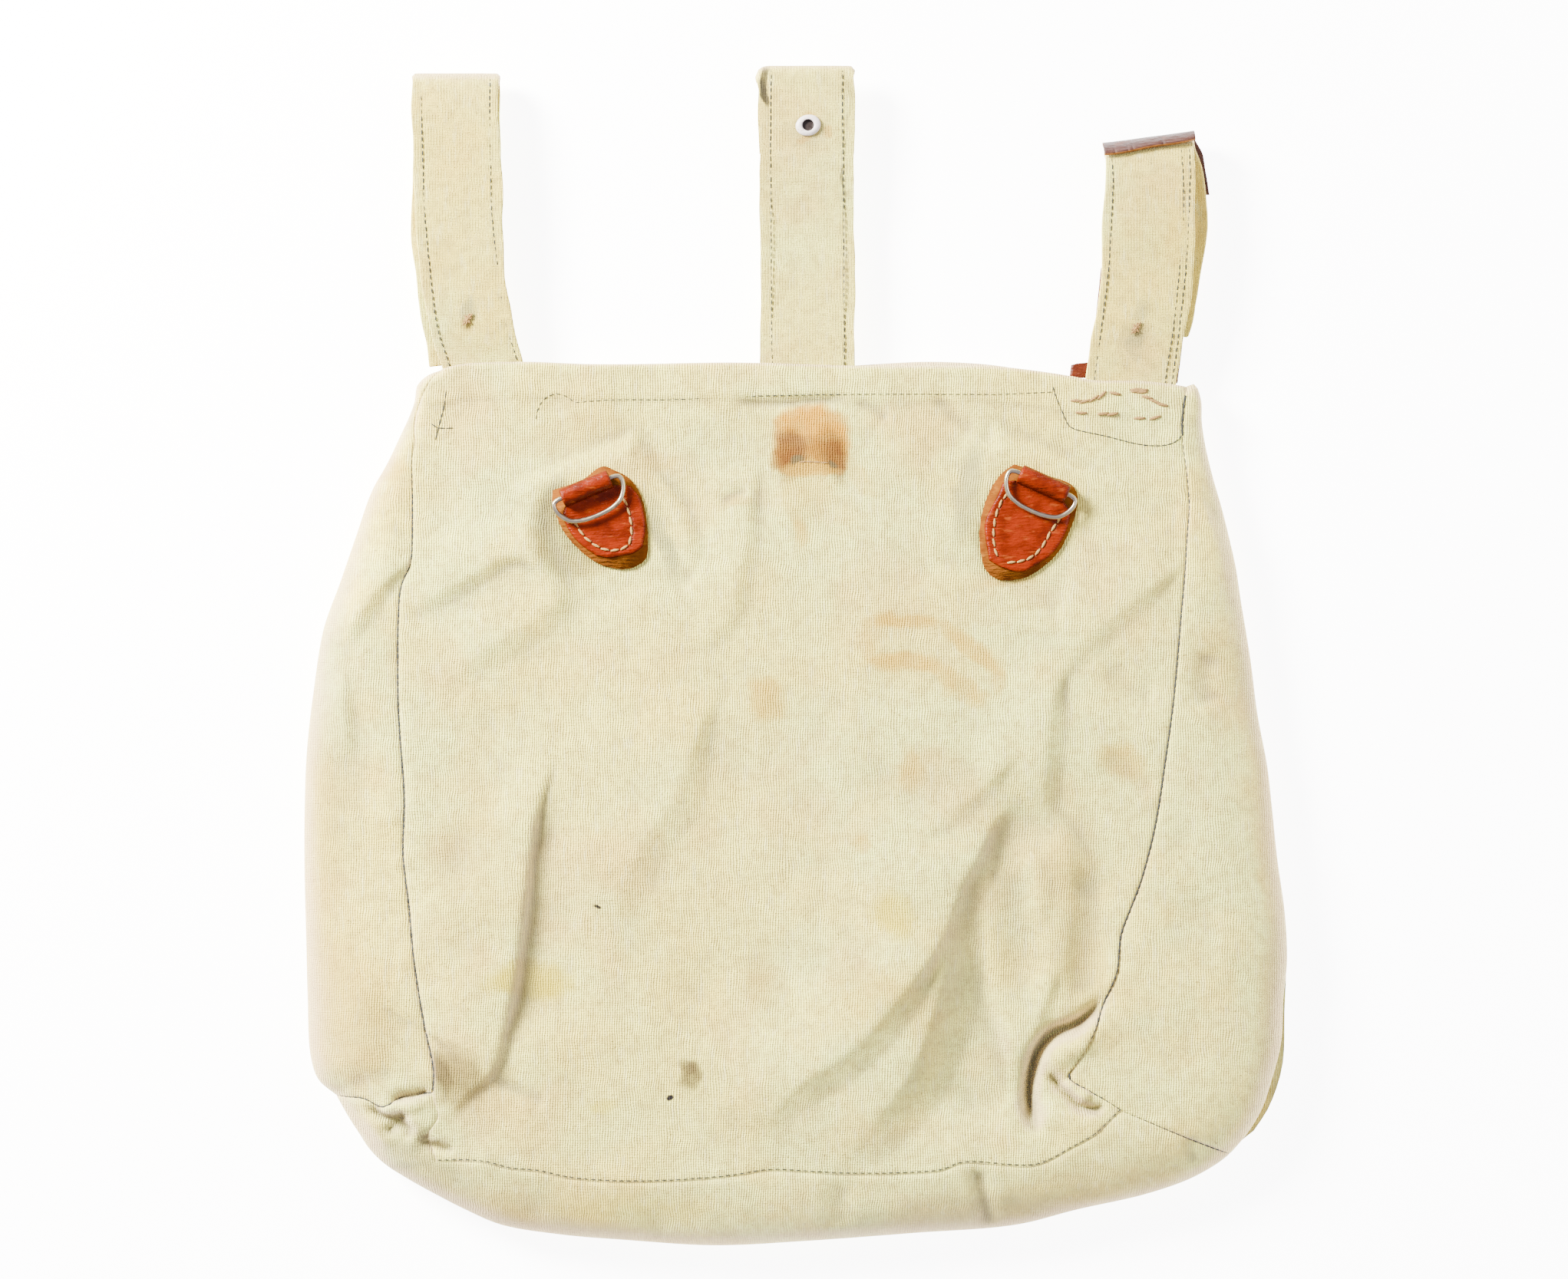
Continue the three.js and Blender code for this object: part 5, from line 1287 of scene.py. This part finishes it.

# The rivet that holds the hook: a hollow rivet of enamelled brass, spun over on the strap. Its
# profile runs from the bottom of its hole out over the flange; the hole is painted near black, as
# painted shade.
RIVET_PROFILE = (
    (0.0, 0.05), (2.0, 0.05), (2.1, 0.3), (2.2, 0.7), (2.4, 1.0), (2.8, 1.2), (3.3, 1.22),
    (4.0, 1.0), (4.55, 0.6), (4.75, 0.15), (4.6, -0.05), (2.2, -0.05),
)  # fmt: skip
rivet_low, rivet_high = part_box("strap_rivet")
rivet_middle = (rivet_low + rivet_high) / 2
paint = Paint("rivet_enamel")
x, y, _ = paint.axes(paint.place())
away_x, away_y = x - rivet_middle.x, y - rivet_middle.y
radius = (away_x * away_x + away_y * away_y) ** 0.5
hole = 1 - radius.between(2.0 * MM, 2.3 * MM)
chips = paint.grain(1.8 * MM, detail=5).between(0.6, 0.72)
enamel = paint.mix(chips * 0.8, (0.60, 0.55, 0.53), (0.22, 0.16, 0.13))
# the bottom of the hole painted near black: painted shade in the rivet's hollow
enamel = paint.mix(hole, enamel, (0.008, 0.003, 0.002))
rivet_finish = paint.finish(
    {
        "Base Color": enamel,
        "Roughness": chips * 0.3 + hole * 0.4 + 0.3,
        "Specular IOR Level": 0.3,
        "Normal": paint.bump(paint.grain(1.2 * MM, detail=3), 0.12 * MM),
    }
)
mesh = bmesh.new()
profile = smooth_run(RIVET_PROFILE, 3) * MM
knots = [mesh.verts.new((r, 0, z)) for r, z in profile]
edges = [mesh.edges.new(pair) for pair in zip(knots, knots[1:])]
bmesh.ops.spin(
    mesh,
    geom=knots + edges,
    cent=(0, 0, 0),
    axis=(0, 0, 1),
    steps=48,
    angle=math.tau,
    use_merge=True,
)
bmesh.ops.remove_doubles(mesh, verts=mesh.verts[:], dist=0.001 * MM)
rivet_top = CENTRE_RUN[6][2] * MM + STRAP / 2
place = Matrix.Translation((rivet_middle.x, rivet_middle.y, rivet_top + 0.3 * MM))
hammered = Matrix.Rotation(math.radians(14), 4, "Z") @ Matrix.Diagonal((0.98, 0.82, 1, 1))
mesh.transform(place @ hammered)
bmesh.ops.recalc_face_normals(mesh, faces=mesh.faces[:])
rivet = cloth("rivet_flange", mesh, rivet_finish, 0)
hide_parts("strap_rivet")

# The hook under the centre strap is plain rusted steel strip, and the buttons under the loops are
# turned horn. Both keep the shapes that the CAD gives them.
paint = Paint("hook_steel")
rust_cover = paint.grain(6 * MM, detail=5).between(0.42, 0.62)
hook_colour = paint.mix(rust_cover, (0.34, 0.32, 0.30), (0.14, 0.05, 0.018))
hook_finish = paint.finish(
    {
        "Base Color": hook_colour,
        "Metallic": 1.0 - rust_cover * 0.9,
        "Roughness": rust_cover * 0.45 + 0.35,
        "Normal": paint.bump(paint.grain(0.8 * MM, detail=4), 0.12 * MM),
    }
)
paint = Paint("button_horn")
streaks = paint.grain(4 * MM, paint.place((1, 0.25, 1), 20), detail=4).between(0.35, 0.7)
horn_colour = paint.mix(streaks, (0.03, 0.022, 0.014), (0.16, 0.11, 0.06))
horn_finish = paint.finish(
    {
        "Base Color": horn_colour,
        "Roughness": streaks * 0.2 + 0.35,
        "Normal": paint.bump(paint.grain(1.0 * MM, detail=3), 0.05 * MM),
    }
)
for node, finish in (
    ("belt_hook", hook_finish),
    ("button_left", horn_finish),
    ("button_right", horn_finish),
):
    for slot in frame["nodes"][node].material_slots:
        slot.material = finish

# The sewing. Machine stitches in grey-green thread close the seams, the hem and the strap edges;
# thick tan thread mends the right loop's foot and holds the buttons, and waxed linen the tabs.
STITCH_PITCH = 2.6 * MM
THREAD_RISE = 0.1  # how far a stitch's middle lies over its chain, as a share of its width


def thread(name, colour, dark):
    """Twisted thread, darker between its strands."""
    paint = Paint(name)
    strands = paint.grain(0.35 * MM, paint.place((1, 1, 1), 40), detail=2)
    surface = paint.mix(strands.between(0.35, 0.7), colour, dark)
    sockets = {"Base Color": surface, "Roughness": 0.85}
    sockets["Normal"] = paint.bump(strands, 0.12 * MM)
    return paint.finish(sockets)


def stitches(name, chains, finish, length, width, pitch, height=0.8, slant=0.0):
    """Stitches laid end to end along chains of points."""
    mesh = bmesh.new()
    for chain in chains:
        steps = np.linalg.norm(np.diff(chain, axis=0), axis=1)
        lengths = np.concatenate([[0], np.cumsum(steps)])
        count = max(int(round(lengths[-1] / pitch)), 1)
        for middle in (np.arange(count) + 0.5) * lengths[-1] / count:
            before, after = (
                Vector([np.interp(middle + shift, lengths, axis) for axis in chain.T])
                for shift in (-length / 2, length / 2)
            )
            direction = (after - before).normalized()
            aside = Vector((0, 0, 1)).cross(direction).normalized()
            up = direction.cross(aside)
            turned_to = Matrix((direction, aside, up)).transposed().to_4x4()
            turned_to = turned_to @ Matrix.Rotation(math.radians(slant), 4, "Z")
            size = Matrix.Diagonal((length, width, width * height, 1))
            place = Matrix.Translation((before + after) / 2 + up * width * THREAD_RISE)
            bmesh.ops.create_uvsphere(
                mesh, u_segments=6, v_segments=5, radius=0.5, matrix=place @ turned_to @ size
            )
    return cloth(name, mesh, finish, 0)


def on_back(*places):
    """A smooth chain of points on top of the back, through places in the photograph."""
    flat = smooth_run([spot(*place) for place in places])
    return with_height(flat, back_height(flat) + CLOTH / 2)


grey_thread = thread("grey_thread", (0.034, 0.038, 0.026), (0.018, 0.02, 0.016))
seam_thread = thread("seam_thread", (0.026, 0.030, 0.026), (0.010, 0.012, 0.012))
tan_thread = thread("tan_thread", (0.30, 0.175, 0.045), (0.12, 0.06, 0.014))
linen_thread = thread("linen_thread", (0.34, 0.19, 0.045), (0.22, 0.11, 0.024))

share = np.linspace(0.012, 1, 200)
seam_chains = []
bottom_left, bottom_right = (
    Line(points=np.array([spot(*end) for end in ends]))
    for ends in ((SEAM_END_LEFT, EDGE_END_LEFT), (CORNER_RIGHT, EDGE_END_RIGHT))
)
for seam in (seam_left, seam_right, bottom_left, bottom_right):
    flat = crumpled(seam.at(share))
    seam_chains.append(with_height(flat, back_height(flat) - 0.15 * MM))
stitches("seam_stitches", seam_chains, seam_thread, 2.9 * MM, 0.78 * MM, 2.5 * MM)

flat = bottom_seam.at(np.linspace(0, 1, 260)) + [0, 0.9 * MM]
stitches(
    "bottom_stitches",
    [with_height(flat, back_height(flat) + CLOTH / 2)],
    grey_thread,
    1.9 * MM,
    0.42 * MM,
    STITCH_PITCH,
)
stitches(
    "hem_stitches",
    [
        on_back((697, 547), (700, 532), (709, 518), (722, 512.5), (736, 515), (747, 523)),
        on_back((747, 524), (800, 520), (870, 520), (940, 517), (1040, 514), (1130, 513),
                (1220, 513), (1300, 513), (1340, 511.5), (1373, 510)),
    ],
    grey_thread,
    2.1 * MM,
    0.4 * MM,
    STITCH_PITCH,
)  # fmt: skip
stitches(
    "patch_stitches",
    [
        on_back((1373, 503), (1376, 514), (1386, 538), (1395, 556), (1402, 559), (1443, 568),
                (1489, 579), (1521, 579.5), (1536, 573), (1542, 566)),
    ],
    seam_thread,
    2.6 * MM,
    0.5 * MM,
    2.3 * MM,
)  # fmt: skip
stitches(
    "corner_threads",
    [
        on_back((580, 508), (577, 530), (571, 552), (566, 573)),
        on_back((560, 551), (568, 557), (578, 557.5), (590, 557)),
        on_back((1547, 514), (1544, 528), (1542, 548), (1542, 568)),
        on_back((1546, 514), (1543.5, 526), (1541, 548), (1541, 566)),
    ],
    seam_thread,
    3.2 * MM,
    0.5 * MM,
    2.6 * MM,
)
stitches(
    "mending_stitches",
    [
        on_back((1396, 520), (1403, 523), (1411, 523), (1420, 522), (1430, 519), (1437, 513),
                (1443, 510)),
        on_back((1446, 509), (1454, 511), (1462, 515)),
        on_back((1474, 506), (1485, 507), (1497, 508.5)),
        on_back((1475, 508), (1486, 509.5), (1496, 511)),
        on_back((1489, 514), (1496, 517), (1503, 520), (1512, 526), (1523, 529.5)),
        on_back((1404, 536), (1410, 538), (1416, 538.5)),
        on_back((1430, 538), (1440, 539), (1459, 539)),
        on_back((1478, 543), (1486, 545), (1494, 545.5)),
        on_back((1499, 544.5), (1506, 543.5), (1514, 542.5)),
    ],
    tan_thread,
    5.2 * MM,
    1.35 * MM,
    3.6 * MM,
    slant=9,
)  # fmt: skip
slit = on_back((1041, 602), (1050, 601), (1060, 601.5), (1080, 603))
stitches("hook_slit", [slit], tan_thread, 3.4 * MM, 0.7 * MM, 2.9 * MM)

strap_chains = []
for run, width, insets, upper in (
    (LEFT_RUN, LEFT_WIDTH, (STITCH_INSET, LEFT_WIDTH - STITCH_INSET), 0.52),
    (RIGHT_RUN, RIGHT_WIDTH, (2.7 * MM, RIGHT_WIDTH - 4.6 * MM, RIGHT_WIDTH - 2.3 * MM), 0.56),
    (CENTRE_RUN, CENTRE_WIDTH, (4.2 * MM, CENTRE_WIDTH - 3.9 * MM), 0.93),
):
    along = np.linspace(0.04, upper, 150)
    for inset in insets:
        points, wanted, _ = strap_points(run, width, np.full(150, inset / width), along)
        points[:, 0] += ripple(np.stack([wanted, wanted * 0], 1), 26 * MM, inset * 900) * 0.5 * MM
        upright = points[:, 2] > 11 * MM
        strap_chains.append(points[upright] + [0, 0, STRAP / 2 - 0.1 * MM])
stitches("strap_stitches", strap_chains, grey_thread, 2.15 * MM, 0.5 * MM, 2.5 * MM)

knots = []
for x, y, up in ((608, 415, 14.2), (1481.5, 426.5, 14.1)):
    middle = np.array([*spot(x, y), up * MM + STRAP / 2])
    for angle, reach in ((50, 2.9), (75, 2.3), (20, 1.9), (125, 2.0), (95, 1.4), (160, 1.3)):
        out = [math.cos(math.radians(angle)), math.sin(math.radians(angle)), 0]
        out = np.array(out) * reach * MM
        raised = middle + [0, 0, (reach - 1.2) * 0.2 * MM]
        knots.append(np.array([raised - out, raised + out]))
stitches("button_knots", knots, tan_thread, 2.4 * MM, 0.95 * MM, 2.2 * MM)

tab_chains = []
for side, shape in TAB_SHAPES.items():
    for places in shape["stitches"]:
        flat = smooth_run(places)
        cover_top = np.full(len(flat), LEATHER / MM / 2 - 0.1 - ROLL)
        tab_chains.append(on_tab(side, flat, cover_top))
stitches("tab_stitches", tab_chains, linen_thread, 3.7 * MM, 1.05 * MM, 3.7 * MM, 0.7, 6)
